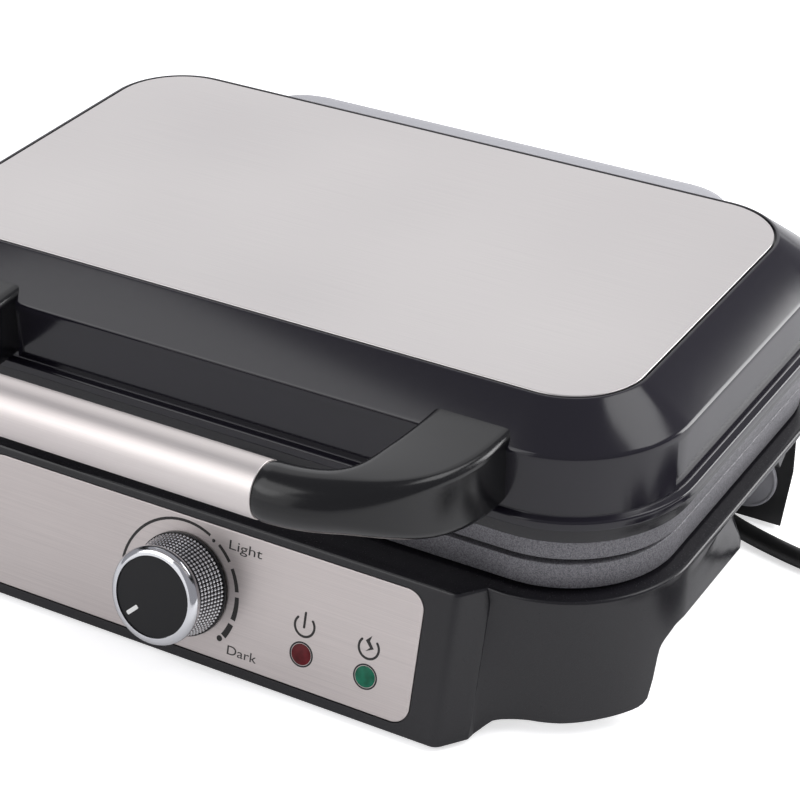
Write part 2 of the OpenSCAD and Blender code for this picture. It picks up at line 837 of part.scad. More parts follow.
// Housing behind the lid that carries the hinge barrel
module hump_profile() {
    front = hy + lid_run;
    clear = front + lip_out + seat_gap;
    union() {
        translate([hinge_y, hinge_z]) circle(r = barrel_r);
        polygon([[clear, hinge_z + 6], [hinge_y - 3, hinge_z], [hinge_y + 3, hinge_z],
            [hump_back, hinge_z + 6], [hump_back, hump_top - 8], [hump_back - 8, hump_top],
            [front, hump_top], [front, lip_z1 + 1], [clear, lip_z1 + 1]]);
        translate([hump_back - 8, hump_top - 8]) circle(r = 8);
    }
}

// Above the barrel the housing's ends are rounded off towards the back
module hump_plan() {
    r = hump_back - hy - lid_run - 2;
    hull() for (x = [-1, 1]) translate([x * (hump_w / 2 - r), hump_back - r]) {
        circle(r = r);
        translate([x > 0 ? 0 : -r, -r]) square(r);
    }
}

module lid_hinge_block() {
    front = hy + lid_run;
    color("#b9b9bd") about_lid() difference() {
        translate([-hump_w / 2, 0, 0]) rotate([90, 0, 90]) linear_extrude(hump_w) hump_profile();
        translate([0, 0, hinge_z + barrel_r + 3]) linear_extrude(shoulder_z) difference() {
            translate([-hump_w, front + 2]) square([2 * hump_w, hump_back]);
            hump_plan();
        }
        translate([-hump_w / 2 + hump_end, front - 1, lip_z1 + 3])
            cube([hump_w - 2 * hump_end, hump_back - hump_wall - front, hump_top - hump_wall - lip_z1 - 3]);
        mirror_x() translate([hump_w / 2 - 22, hinge_y, hinge_z]) rotate([0, 90, 0])
            cylinder(r = pin_r + run_fit, h = 24);
        mirror_x() block_screw_at() screw_hole(12);
    }
}

// ---- handle ----

module handle_tube() {
    color("#cfcbc9") about_lid() translate([-tube_l / 2, -handle_reach, handle_z])
        rotate([0, 90, 0]) difference() {
            cylinder(r = tube_r, h = tube_l);
            translate([0, 0, -1]) cylinder(r = tube_r - tube_t, h = tube_l + 2);
        }
}

// Plan curve of a handle end, from the tube's end to its root on the lid
end_steps = 12;
end_p = [[tube_l / 2, -handle_reach], [tube_l / 2 + 30, -handle_reach],
    [root_x, -handle_reach + 18], [root_x, root_y]];
function bez(t) = pow(1 - t, 3) * end_p[0] + 3 * pow(1 - t, 2) * t * end_p[1]
    + 3 * (1 - t) * t * t * end_p[2] + pow(t, 3) * end_p[3];
function bez_dir(t) = unit(pow(1 - t, 2) * (end_p[1] - end_p[0])
    + 2 * (1 - t) * t * (end_p[2] - end_p[1]) + t * t * (end_p[3] - end_p[2]));
function section(a, b, r) = [for (q = [0:3]) for (i = [0:6])
    let (t = 90 * (q + i / 6), sx = (q == 0 || q == 3) ? 1 : -1, sy = q < 2 ? 1 : -1)
    [sx * (a - r) + r * cos(t), sy * (b - r) + r * sin(t)]];
function end_ring(t) = let (m = ease(clamp01((t - 0.3) / 0.6)), c = bez(t), d = bez_dir(t),
    a = tube_r + 0.1 + (root_hw - tube_r - 0.1) * m,
    b = tube_r + 0.1 + (root_hh - tube_r - 0.1) * m, r = a - (a - 3.5) * m - 0.05,
    z = handle_z - root_drop * m)
    [for (p = section(a, b, min(r, b - 0.05))) [c[0] + p[0] * d[1], c[1] - p[0] * d[0], z + p[1]]];

module handle_end() {
    color("#1c1b1e") difference() {
        union() {
            skin([for (i = [end_steps:-1:0]) end_ring(i / end_steps)]);
            translate([tube_l / 2 - 14, -handle_reach, handle_z]) rotate([0, 90, 0])
                cylinder(r = tube_r - tube_t - screw_fit, h = 16);
        }
        handle_screw_at() screw_hole(20);
    }
}

module handle_screw_at() {
    for (z = [-6, 6]) translate([root_x, root_y + 4, handle_root_z + z]) rotate([-90, 0, 0])
        children();
}

module handle_end_right() {
    about_lid() handle_end();
}

module handle_end_left() {
    about_lid() mirror([1, 0, 0]) handle_end();
}

module handle_screws() {
    color("silver") about_lid() mirror_x() handle_screw_at() screw(16);
}

// ---- mains lead ----

module cord_gland() {
    color("#141414") about_lid() translate([box_x1, gland_y, gland_z]) rotate([0, 90, 0])
        rotate_extrude() polygon([[0, 0], [6.5, 0], [6.5, 2], [5.4, 3], [cord_d / 2 + 0.8, gland_l],
            [0, gland_l]]);
}

// Tube of round section along a route
module lead(route) {
    m = len(route);
    rings = [for (i = [0:m - 1])
        let (d = unit(route[min(m - 1, i + 1)] - route[max(0, i - 1)]),
            u = unit(cross(d, [0, 0, 1])), v = cross(u, d))
        [for (j = [0:cord_n - 1]) let (t = 360 * (j + 0.5) / cord_n)
            route[i] + cord_d / 2 * (cos(t) * u - sin(t) * v)]];
    skin(rings);
}

module cord() {
    color("#161616") about_lid() {
        lead(route_in);
        lead(route_out);
    }
}

module cord_coil() {
    color("#161616") about_lid() translate([coil_c[0], coil_c[1], tie_t]) rotate_extrude()
        translate([coil_r - cord_d, 0]) square(2 * cord_d);
}

module cord_tie() {
    w = 2 * cord_d;
    color("#e8e8e8") about_lid() translate([coil_c[0], coil_c[1] - coil_r, 0]) difference() {
        translate([-4, -w / 2 - tie_t - 1, 0]) cube([8, w + 2 * tie_t + 2, w + 2 * tie_t]);
        translate([-5, -w / 2 - 1, tie_t]) cube([10, w + 2, w]);
    }
}

module plug_body() {
    color("#161616") about_lid() translate(plug_at) rotate([0, 0, -plug_a]) rotate([90, 0, 0])
        linear_extrude(40) hull() for (x = [-10, 10]) translate([x, 0]) circle(r = 7.2, $fn = 32);
}

module plug_pins() {
    color("#c8c8c8") about_lid() translate(plug_at) rotate([0, 0, -plug_a])
        for (x = [-9.5, 9.5]) translate([x, -40, 0]) rotate([90, 0, 0]) cylinder(r = 2.4, h = 19);
}

base_housing();
bottom_pan();
terminal_box();
nose_cover();
front_plate();
red_lens();
green_lens();
neon_lamps();
lamp_holder();
thermostat_body();
thermostat_bushing();
lower_plate();
lower_element();
lower_reflector();
lower_plate_screws();
rear_leg_left();
rear_leg_right();
leg_caps();
rubber_feet();
hinge_ear_left();
hinge_ear_right();
ear_screws();
hinge_pins();
terminal_block();
thermal_fuse();
base_screws();
cord_gland();
cord();
cord_coil();
cord_tie();
plug_body();
plug_pins();
lid_shell();
lid_panel();
lid_frame();
lid_frame_screws();
upper_plate();
upper_element();
upper_reflector();
upper_plate_screws();
lid_hinge_block();
hinge_block_screws();
handle_tube();
handle_end_left();
handle_end_right();
handle_screws();
knob_core();
knob_drum();
knob_bezel();
knob_face();
knob_pointer();
thermostat_shaft();
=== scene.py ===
# %% [markdown]
# # A waffle maker, piece by piece
# The construction of this machine was settled first: every shell, screw, pin and plate already has its size and
# place. This lesson gives it the looks. We load the construction as a fixed frame, then work out each visible
# surface with numpy from a few real dimensions, and give every piece a finish that starts from its real material.

# %% Load the construction
import math

import bmesh
import bpy
import numpy as np
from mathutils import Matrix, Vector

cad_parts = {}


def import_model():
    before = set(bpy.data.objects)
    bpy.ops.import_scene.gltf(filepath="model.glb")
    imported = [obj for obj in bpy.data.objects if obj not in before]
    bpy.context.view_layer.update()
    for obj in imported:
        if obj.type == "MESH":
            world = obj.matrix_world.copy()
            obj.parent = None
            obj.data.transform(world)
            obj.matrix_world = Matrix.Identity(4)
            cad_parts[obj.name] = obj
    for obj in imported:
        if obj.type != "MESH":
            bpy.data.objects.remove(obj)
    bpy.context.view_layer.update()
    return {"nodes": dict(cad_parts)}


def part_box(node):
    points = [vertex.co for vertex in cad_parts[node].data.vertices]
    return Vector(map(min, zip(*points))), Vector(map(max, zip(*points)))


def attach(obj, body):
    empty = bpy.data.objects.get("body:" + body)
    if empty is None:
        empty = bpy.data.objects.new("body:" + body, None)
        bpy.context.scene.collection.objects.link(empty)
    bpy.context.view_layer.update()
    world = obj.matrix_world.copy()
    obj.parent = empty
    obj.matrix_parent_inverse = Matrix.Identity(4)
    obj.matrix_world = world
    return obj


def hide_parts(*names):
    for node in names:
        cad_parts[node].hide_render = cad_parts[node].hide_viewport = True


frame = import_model()
print("construction nodes:", len(frame["nodes"]))

# %% [markdown]
# ## One set of measures
# Every outline on this machine is the outline of its steel lid panel, moved outwards. So the panel's half sizes
# and its corner radius drive the lid, the frame, both plates and the base. We read the panel's box from the
# frame and write the rest in millimetres, because that is how the real drawings read.

# %% The driving dimensions
MM = 0.001
panel_low, panel_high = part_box("lid_panel")
half_x = (panel_high[0] - panel_low[0]) / 2 / MM
half_y = (panel_high[1] - panel_low[1]) / 2 / MM
middle_y = (panel_high[1] + panel_low[1]) / 2
top_z = panel_high[2] / MM
corner_r = 26.0
print("panel", round(2 * half_x, 1), "x", round(2 * half_y, 1), "top at", round(top_z, 1))


def height(node, end):
    """Lowest (end 0) or highest (end 1) point of a construction node, in millimetres."""
    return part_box(node)[end][2] / MM


# %% Levels and offsets
# Levels are heights over the table. The two last values say how far the lid's wall and the base's wall stand
# outside the panel's outline.
lip_rise, slope_drop, plate_gap = 4.0, 12.3, 0.3
rim_z, lower_plate_z = 54.8, 56.0
upper_z = (height("upper_plate", 0), height("lid_frame", 0))
lower_z = (lower_plate_z, upper_z[0] - plate_gap)
frame_z = (height("lid_frame", 0), height("lid_frame", 1))
lip_z = (frame_z[1], frame_z[1] + lip_rise)
shoulder_z = top_z - slope_drop
bevel_run, base_run = 17.9, 20.0
print("base rim", rim_z, "plates", np.round(lower_z + upper_z, 1), "lid shoulder", round(shoulder_z, 1))

# %% [markdown]
# ## Grids of points
# A surface here is a grid: one direction runs along a path, the other along a profile. `grid_faces` numbers the
# quads of a grid, `mesh_object` turns one or more grids into a mesh whose object stays at the origin, with the
# normals made to point outwards, and `make_piece` gives it a body, a finish and the nodes that it stands for.

# %% Grid helpers
def grid_faces(rows, columns, wrap_rows=False, wrap_columns=True, caps=(False, False)):
    """Quads of a rows x columns grid numbered row by row; a wrapped direction joins its last line to its first,
    and a cap closes the first or last row with one face."""
    index = np.arange(rows * columns).reshape(rows, columns)
    first, last = index[0][::-1], index[-1]
    if wrap_rows:
        index = np.vstack([index, index[:1]])
    if wrap_columns:
        index = np.hstack([index, index[:, :1]])
    quads = np.stack([index[:-1, :-1], index[:-1, 1:], index[1:, 1:], index[1:, :-1]], -1).reshape(-1, 4)
    ends = [end.tolist() for end, wanted in zip((first, last), caps) if wanted]
    return quads.tolist() + ends


def grid_part(grid, **joins):
    """A (rows, columns, 3) grid as one part: its points in a row, and its faces."""
    return grid.reshape(-1, 3), grid_faces(*grid.shape[:2], **joins)


def world(points):
    """Millimetres about the lid's middle, as metres in the frame: scale by 0.001 and add the lid's own y."""
    return np.asarray(points, float).reshape(-1, 3) * MM + (0, middle_y, 0)


print("a tube of 3 rings and 4 columns has", len(grid_faces(3, 4)), "quads")


# %% From grids to pieces
def mesh_object(name, parts, weld=None):
    """Joins parts, each (points, faces), into one mesh, merges points closer than weld metres, and turns its
    faces outwards."""
    points, faces, start = [], [], 0
    for part_points, part_faces in parts:
        points.append(world(part_points))
        faces += [[i + start for i in face] for face in part_faces]
        start += len(points[-1])
    mesh = bpy.data.meshes.new(name)
    mesh.from_pydata(np.vstack(points).tolist(), [], faces)
    work = bmesh.new()
    work.from_mesh(mesh)
    if weld:
        bmesh.ops.remove_doubles(work, verts=work.verts, dist=weld)
        bmesh.ops.dissolve_degenerate(work, edges=work.edges, dist=weld)
    bmesh.ops.recalc_face_normals(work, faces=work.faces)
    work.to_mesh(mesh)
    work.free()
    made = bpy.data.objects.new(name, mesh)
    bpy.context.scene.collection.objects.link(made)
    return made


def smooth_faces(piece, sharp):
    """Shades a piece smoothly, but keeps edges sharp where its faces meet at more than that angle."""
    piece.data.shade_smooth()
    piece.data.set_sharp_from_angle(angle=math.radians(sharp))


def make_piece(name, parts, body, material, sharp, *, replaces=(), weld=1e-6):
    """Makes one closed piece of the machine: it rides on a body, stands for the replaced nodes, and takes the
    finish that it is given."""
    piece = mesh_object(name, parts, weld)
    smooth_faces(piece, sharp)
    piece.data.materials.append(material)
    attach(piece, body)
    if replaces:
        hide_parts(*replaces)
    print(name, "faces:", len(piece.data.polygons))
    return piece


# %% [markdown]
# ## Outlines and profiles
# The panel's outline is kept as points and outward normals. Moving it out by an offset keeps its corners round
# and its points in step, so a profile of (offset, height) pairs can be carried round it as one smooth surface.

# %% Outline
def outline(hx=half_x, hy=half_y, r=corner_r, corner=18, cuts_x=(), bends=(), runs=(9, 7)):
    """Rounded rectangle, anticlockwise from above: straight runs at x = +-hx or y = +-hy, with points at the
    cuts along x, and quarter circles of radius r between them, with points at the named angles from either end,
    in degrees. Returns points and outward normals."""
    run_x = np.unique(np.concatenate([np.linspace(-(hx - r), hx - r, runs[0]), cuts_x]))
    run_y = np.unique(np.linspace(-(hy - r), hy - r, runs[1]))
    extra = np.array(bends, float)
    turn = np.radians(np.unique(np.concatenate([np.linspace(0, 90, corner + 2)[1:-1], extra, 90 - extra])))
    parts, normals = [], []
    for quarter, run in enumerate((run_y, run_x[::-1], run_y[::-1], run_x)):
        n = np.array([(1, 0), (0, 1), (-1, 0), (0, -1)][quarter], float)
        side = np.zeros((len(run), 2)) + n * (hx if quarter % 2 == 0 else hy)
        side[:, 1 - quarter % 2] = run
        parts.append(side)
        normals.append(np.tile(n, (len(run), 1)))
        angle = turn + math.pi / 2 * quarter
        bend = np.stack([np.cos(angle), np.sin(angle)], -1)
        centre = np.array([(1, 1), (-1, 1), (-1, -1), (1, -1)][quarter]) * (hx - r, hy - r)
        parts.append(centre + r * bend)
        normals.append(bend)
    return np.vstack(parts), np.vstack(normals)


print("points on the panel's outline:", len(outline()[0]))


# %% Rounded lines and smooth steps
def rounded(points, radii, steps=5, most=0.49):
    """Broken line whose corners are rounded: each corner is left a tangent length before it and joined again
    after it, along the quadratic curve through the corner, (1-t)^2 A + 2t(1-t) P + t^2 B. No rounding takes more
    than the given share of a side."""
    points = np.asarray(points, float)
    out = [points[0]]
    t = np.linspace(0, 1, steps + 1)[:, None]
    for before, here, after, r in zip(points[:-2], points[1:-1], points[2:], radii):
        a, b = before - here, after - here
        la, lb = np.linalg.norm(a), np.linalg.norm(b)
        angle = math.acos(max(-1, min(1, float(a @ b) / la / lb)))
        length = min(r / max(math.tan(angle / 2), 1e-6), most * la, most * lb)
        start, end = here + a / la * length, here + b / lb * length
        out += list((1 - t) ** 2 * start + 2 * t * (1 - t) * here + t ** 2 * end) if r else [here]
    return np.array(out + [points[-1]])


def smooth(t):
    """Smooth step: 3t^2 - 2t^3 for t held between 0 and 1."""
    t = np.clip(t, 0, 1)
    return t * t * (3 - 2 * t)


print("a rounded corner has", len(rounded([(0, 0), (1, 0), (1, 1)], [0.3])) - 2, "points; a step's middle is",
      smooth(0.5))


# %% Carried and turned profiles
def carry(profile, path):
    """A profile of (offset, height) carried round an outline: point = outline + offset * normal, at height."""
    points, normals = path
    profile = np.asarray(profile, float)
    plan = points[None] + profile[:, :1, None] * normals[None]
    z = np.broadcast_to(profile[:, 1, None, None], plan.shape[:2] + (1,))
    return np.concatenate([plan, z], -1)


def solid(profile, path, closed=False):
    """A carried profile as one part: a closed profile wraps, an open one is capped at both ends."""
    return grid_part(carry(profile, path), wrap_rows=closed, caps=(not closed, not closed))


def turned(radius, height, columns, wrap=False):
    """Radii and heights turned about the z axis: (r cos a, r sin a, h) at each of the columns' angles a. An end
    that isn't on the axis is capped, unless the section wraps."""
    radius, height = (np.asarray(v, float).reshape(len(v), -1) for v in (radius, height))
    angle = np.arange(columns) / columns * 2 * math.pi
    grid = np.stack(np.broadcast_arrays(radius * np.cos(angle), radius * np.sin(angle), height), -1)
    caps = (not wrap and radius[0, 0] > 0, not wrap and radius[-1, 0] > 0)
    return grid_part(grid, wrap_rows=wrap, caps=caps)


print("a capped drum of 12 columns has", len(turned([5, 5], [0, 3], 12)[1]), "faces")


# %% [markdown]
# ## Camera and light
# The camera looks from the front right and above, through a long lens, so the lines stay calm. A pale studio
# wraps the machine. A very broad box behind it fills the steel panel's reflection, two boxes at the right put
# clear shapes on the polished corner, and two fill the front and the left. A small box near the right side only
# lifts what is matt there: polished parts don't mirror it. The strengths are low enough that a white surface
# renders just under white, and the floor keeps a soft shadow.

# %% Camera
view_pitch, view_yaw = 30.74, 29.89
camera_data = bpy.data.cameras.new("camera")
camera_data.lens = 114.49
camera_data.sensor_width = 36
camera_data.clip_end = 50
camera = bpy.data.objects.new("camera", camera_data)
camera.location = (0.4191, -0.6977 + middle_y, 0.528)
camera.rotation_euler = (math.radians(90 - view_pitch), 0, math.radians(view_yaw))
bpy.context.scene.collection.objects.link(camera)
bpy.context.scene.camera = camera
bpy.context.scene.view_settings.view_transform = "Standard"
print("camera", round(math.dist(camera.location, (0, middle_y, 0)), 3), "m from the lid's middle")


# %% One function adds a node
def linear(hex_colour):
    """sRGB hex to linear: each channel c becomes ((c + 0.055) / 1.055) ^ 2.4, or c / 12.92 when small."""
    c = np.array([int(hex_colour[i:i + 2], 16) / 255 for i in (1, 3, 5)])
    return (*np.where(c <= 0.04045, c / 12.92, ((c + 0.055) / 1.055) ** 2.4), 1.0)


def add(tree, kind, inputs=(), **settings):
    """Adds one node: settings are its attributes, inputs pair a socket with a value or another node's output."""
    node = tree.nodes.new(kind)
    for name, value in settings.items():
        setattr(node, name, value)
    for socket, value in dict(inputs).items():
        if isinstance(value, bpy.types.NodeSocket):
            tree.links.new(value, node.inputs[socket])
        else:
            node.inputs[socket].default_value = value
    return node


print("mid grey in linear light:", round(float(linear("#808080")[0]), 3))


# %% World and floor
white = (1, 1, 1, 1)


def emptied(block):
    """Turns on a block's nodes and takes them all out; returns its tree."""
    block.use_nodes = True
    block.node_tree.nodes.clear()
    return block.node_tree


def seen_apart(tree, others, camera_rays, output):
    """Sends camera rays one shader and all the other rays another."""
    rays = add(tree, "ShaderNodeLightPath").outputs["Is Camera Ray"]
    both = add(tree, "ShaderNodeMixShader", {0: rays, 1: others.outputs[0], 2: camera_rays.outputs[0]})
    add(tree, output, {"Surface": both.outputs[0]})


def studio_world(colour, strength):
    """A pale world: what the camera sees directly is plain white at strength 1."""
    world_data = bpy.data.worlds.new("studio")
    tree = emptied(world_data)
    light = add(tree, "ShaderNodeBackground", {"Color": linear(colour), "Strength": strength})
    seen = add(tree, "ShaderNodeBackground", {"Color": white, "Strength": 1.0})
    seen_apart(tree, light, seen, "ShaderNodeOutputWorld")
    return world_data


def floor_finish(colour, glow_strength):
    """Matt white studio paper; what the camera sees gains a touch of its own light."""
    material = bpy.data.materials.new("studio paper")
    tree = emptied(material)
    paper = add(tree, "ShaderNodeBsdfDiffuse", {"Color": linear(colour)})
    glow = add(tree, "ShaderNodeEmission", {"Color": white, "Strength": glow_strength})
    lifted = add(tree, "ShaderNodeAddShader", {0: paper.outputs[0], 1: glow.outputs[0]})
    seen_apart(tree, paper, lifted, "ShaderNodeOutputMaterial")
    return material


bpy.context.scene.world = studio_world("#f7f7ff", 0.34)
floor_half = 8
floor_corners = [(sx * floor_half, sy * floor_half, 0) for sx, sy in ((-1, -1), (1, -1), (1, 1), (-1, 1))]
floor_mesh = bpy.data.meshes.new("floor")
floor_mesh.from_pydata(floor_corners, [], [(0, 1, 2, 3)])
floor_mesh.materials.append(floor_finish("#f2f2f3", 0.6))
floor = bpy.data.objects.new("floor", floor_mesh)
bpy.context.scene.collection.objects.link(floor)
print("floor", 2 * floor_half, "m wide")


# %% Lamps
def area_lamp(name, place, aim, size, watts, in_gloss):
    """A square soft box of the given side, in metres, turned from its place to its aim; in_gloss says whether
    polished parts mirror it. A lamp shines along its own -z."""
    data = bpy.data.lights.new(name, "AREA")
    data.size = size
    data.energy = watts
    lamp = bpy.data.objects.new(name, data)
    offset = np.array(aim, float) - np.array(place, float)
    flat = math.hypot(offset[0], offset[1])
    lamp.location = place
    lamp.rotation_euler = (math.atan2(flat, -offset[2]), 0, math.atan2(-offset[0], offset[1]))
    lamp.visible_glossy = in_gloss
    bpy.context.scene.collection.objects.link(lamp)


# Each row: name, place, aim, side in metres, watts, and whether polished parts mirror it.
lamps = [("back box", (-0.7, 1.6, 1.1), (0, 0, 0.05), 2.4, 12, True),
         ("right box", (0.95, 0.55, 1.5), (0, 0, 0.08), 0.8, 5.5, True),
         ("low box", (1.35, 1.5, 0.45), (0, 0, 0.08), 1.0, 20, True),
         ("left box", (-1.0, -1.35, 1.45), (0, 0, 0.08), 1.6, 13, True),
         ("front box", (-1.0, -2.0, 0.6), (0, 0, 0.05), 2.0, 8.5, True),
         ("floor box", (0.6, 0.1, 0.55), (0.4, 0.05, 0), 0.5, 3, False)]
for lamp_row in lamps:
    area_lamp(*lamp_row)
print("lamps:", len(lamps))

# %% [markdown]
# ## Finishes
# Each finish starts from the real material. Brushed steel is a metal whose fine lines run one way, so its noise
# is stretched over a hundred times along that way. Moulded plastic is a dielectric of IOR about 1.5: a polished
# mould gives it a mirror-like gloss, a grained mould a soft sheen. The plates are cast aluminium under a dark
# coating with mineral specks. The pattern of a finish is a noise of a real size, and `drive` lets it steer the
# colour, the roughness and the relief together, as tooling and wear do on the real surface.

# %% Start of a finish
def finish(name, colour, metallic, roughness, **sockets):
    """A material with one Principled shader whose uniform values sit on its own sockets."""
    material = bpy.data.materials.new(name)
    material.use_nodes = True
    tree = material.node_tree
    shader = tree.nodes["Principled BSDF"]
    shader.inputs["Base Color"].default_value = linear(colour)
    shader.inputs["Metallic"].default_value = metallic
    shader.inputs["Roughness"].default_value = roughness
    for socket, value in sockets.items():
        shader.inputs[socket.replace("_", " ")].default_value = value
    return material, tree, shader


def stretched(tree, scale):
    """Object coordinates scaled per axis, in repeats a metre."""
    place = add(tree, "ShaderNodeTexCoord")
    return add(tree, "ShaderNodeMapping", {"Vector": place.outputs["Object"], "Scale": scale}).outputs[0]


noise_span = (0.3, 0.7)
print("nearly all values of a noise lie in", noise_span)


def drive(tree, shader, pattern, colours=None, span=noise_span, roughness=None, relief=None):
    """Lets a pattern steer the shader: a blend of two colours as it crosses its span, a roughness that goes from
    low to high as it crosses a noise's span, and a relief of (distance in metres, strength)."""
    if colours:
        ramp = add(tree, "ShaderNodeValToRGB", {"Fac": pattern})
        for stop, position, colour in zip(ramp.color_ramp.elements, span, colours):
            stop.position, stop.color = position, linear(colour)
        tree.links.new(ramp.outputs[0], shader.inputs["Base Color"])
    if roughness:
        ranged = add(tree, "ShaderNodeMapRange", {"Value": pattern, "From Min": noise_span[0],
                                                  "From Max": noise_span[1], "To Min": roughness[0],
                                                  "To Max": roughness[1]})
        tree.links.new(ranged.outputs[0], shader.inputs["Roughness"])
    if relief:
        raised = add(tree, "ShaderNodeBump", {"Height": pattern, "Distance": relief[0], "Strength": relief[1]})
        tree.links.new(raised.outputs[0], shader.inputs["Normal"])


# %% Brushed steel, moulded plastic, coated casting
def brushed_steel(name, dark, light, roughness, bump_strength=0.35):
    """Sheet steel drawn under abrasive belts: lines 0.3 mm apart and 40 mm long, along x. The eye sees a soft
    streaked glow across the lines."""
    material, tree, shader = finish(name, light, 1.0, roughness)
    lines = add(tree, "ShaderNodeTexNoise", {"Vector": stretched(tree, (25.0, 3300.0, 3300.0)), "Scale": 1.0,
                                             "Detail": 3.0})
    cloud = add(tree, "ShaderNodeTexNoise", {"Vector": stretched(tree, (9, 9, 9)), "Scale": 1.0, "Detail": 1.0})
    mixed = add(tree, "ShaderNodeMath", {0: lines.outputs[0], 1: cloud.outputs[0]}, operation="ADD")
    halved = add(tree, "ShaderNodeMath", {0: mixed.outputs[0], 1: 0.5}, operation="MULTIPLY")
    drive(tree, shader, halved.outputs[0], (dark, light))
    drive(tree, shader, lines.outputs[0], roughness=(roughness - 0.03, roughness + 0.05),
          relief=(0.02 * MM, bump_strength))
    return material


def moulded(name, colour, roughness, grain_mm, depth_mm, spread=0.04, **sockets):
    """Moulded plastic or rubber, and fired ceramic or glass with a finer grain: the grain, of that size and
    depth, sets how softly it shines."""
    material, tree, shader = finish(name, colour, 0.0, roughness, IOR=1.5, **sockets)
    grain = add(tree, "ShaderNodeTexNoise", {"Vector": stretched(tree, (1 / MM / grain_mm,) * 3), "Scale": 1.0,
                                             "Detail": 2.0})
    drive(tree, shader, grain.outputs[0], roughness=(max(0.02, roughness - spread), roughness + spread),
          relief=(depth_mm * MM, 0.6))
    return material


def coated_casting(name, dark, light):
    """Die-cast aluminium with a non-stick coat: a rough dark skin with pale mineral specks 0.4 mm across."""
    material, tree, shader = finish(name, dark, 0.25, 0.5)
    specks = add(tree, "ShaderNodeTexVoronoi", {"Vector": stretched(tree, (2600, 2600, 1900)), "Scale": 1.0})
    cloud = add(tree, "ShaderNodeTexNoise", {"Vector": stretched(tree, (1400, 1400, 900)), "Scale": 1.0,
                                             "Detail": 4.0, "Roughness": 0.7})
    both = add(tree, "ShaderNodeMath", {0: specks.outputs["Distance"], 1: cloud.outputs[0]},
               operation="MULTIPLY")
    drive(tree, shader, both.outputs[0], (light, dark), (0.1, 0.36))
    drive(tree, shader, cloud.outputs[0], roughness=(0.38, 0.62), relief=(0.12 * MM, 0.7))
    return material


panel_steel = brushed_steel("brushed lid steel", "#cfcbca", "#dedad8", 0.34)
fascia_steel = brushed_steel("brushed front steel", "#c0b8b6", "#d6cecb", 0.38)
tube_steel = brushed_steel("brushed handle steel", "#dcd4d2", "#e8e2df", 0.46, 0.08)
gloss_black = moulded("polished black ABS", "#19171f", 0.14, 2.5, 0.001, 0.008)
satin_black = moulded("satin black ABS", "#17161a", 0.26, 0.5, 0.0008, 0.015)
handle_black = moulded("handle black ABS", "#0c0c0e", 0.2, 0.6, 0.004)
matt_black = moulded("matt black ABS", "#161618", 0.55, 0.4, 0.012)
# On the hinge housing this light grey is a painted reflection: it stands for a bright grazing reflection on gloss
# black.
grey_plastic_and_painted_reflection = moulded("light grey ABS and painted reflection", "#aeaeb3", 0.35, 0.5, 0.008)
plate_coat = coated_casting("coated cast aluminium", "#59585c", "#828185")
rubber_black = moulded("black rubber", "#141414", 0.62, 0.35, 0.02, Sheen_Weight=0.15)
print("finishes so far:", len(bpy.data.materials))


# %% Plated, printed and clear finishes
def plated(name, colour, roughness, cloud_mm=2.0):
    """Chrome, nickel and zinc plating, and bare rolled or turned metal: its roughness wavers a little in clouds
    of that size, as polishing and handling leave it."""
    material, tree, shader = finish(name, colour, 1.0, roughness)
    cloud = add(tree, "ShaderNodeTexNoise", {"Vector": stretched(tree, (1 / MM / cloud_mm,) * 3), "Scale": 1.0,
                                             "Detail": 2.0})
    drive(tree, shader, cloud.outputs[0], roughness=(roughness * 0.6, roughness * 1.5))
    return material


def ink(name, colour, roughness):
    """Screen-printed ink: a thin, slightly grainy film, 0.2 mm mesh marks barely seen."""
    material, tree, shader = finish(name, colour, 0.0, roughness)
    grain = add(tree, "ShaderNodeTexNoise", {"Vector": stretched(tree, (5000,) * 3), "Scale": 1.0})
    drive(tree, shader, grain.outputs[0], roughness=(roughness - 0.08, roughness + 0.08))
    return material


def lens_plastic(name, dark, light):
    """Dyed polycarbonate: its dye clouds over some 3 mm, and its colour is deep and its surface wet-looking."""
    material, tree, shader = finish(name, light, 0.0, 0.2, IOR=1.58, Specular_IOR_Level=0.2)
    cloud = add(tree, "ShaderNodeTexNoise", {"Vector": stretched(tree, (320,) * 3), "Scale": 1.0, "Detail": 1.0})
    drive(tree, shader, cloud.outputs[0], (dark, light), (0.25, 0.75))
    return material


def chrome_with_painted_groove_shade(name, groove, crest):
    """Chrome on the knurl with painted shade: bright on the crests and painted dark in the grooves, where shade
    falls. The mesh's
    "crest" attribute is 0 in a groove and 1 on a crest."""
    material, tree, shader = finish(name, crest, 1.0, 0.2)
    depth = add(tree, "ShaderNodeAttribute", attribute_name="crest")
    drive(tree, shader, depth.outputs["Fac"], (groove, crest), (0.12, 0.5))
    return material


chrome = plated("polished chrome", "#e2e3e6", 0.09)
# The knurl's grooves are painted shade: #38383b in the grooves, #f4f4f6 on the crests.
knurl_chrome_painted_shade = chrome_with_painted_groove_shade("knurled chrome with painted groove shade", "#38383b", "#f4f4f6")
bright_nickel = plated("nickel plate", "#c9c7c2", 0.16)
zinc = plated("zinc plate", "#b4b6ba", 0.32, 0.8)
bright_sheet = plated("bright aluminium sheet", "#c9cacc", 0.28, 3.0)
heater = plated("sheathed heater steel", "#6e655c", 0.45, 1.5)
turned_brass = plated("turned brass", "#b99a52", 0.25, 0.5)
dark_ink = ink("dark screen ink", "#262322", 0.5)
white_ink = ink("white screen ink", "#f0f0ee", 0.45)
knob_lacquer = moulded("dark knob lacquer", "#1a1a1c", 0.42, 0.3, 0.004, Specular_IOR_Level=0.3)
red_glow = lens_plastic("red polycarbonate", "#4a0d12", "#6e171f")
green_glow = lens_plastic("green polycarbonate", "#0c4f3a", "#17765a")
cable_black = moulded("cable rubber", "#141414", 0.5, 0.4, 0.012)
foot_rubber = moulded("foot rubber", "#151515", 0.7, 0.5, 0.03)
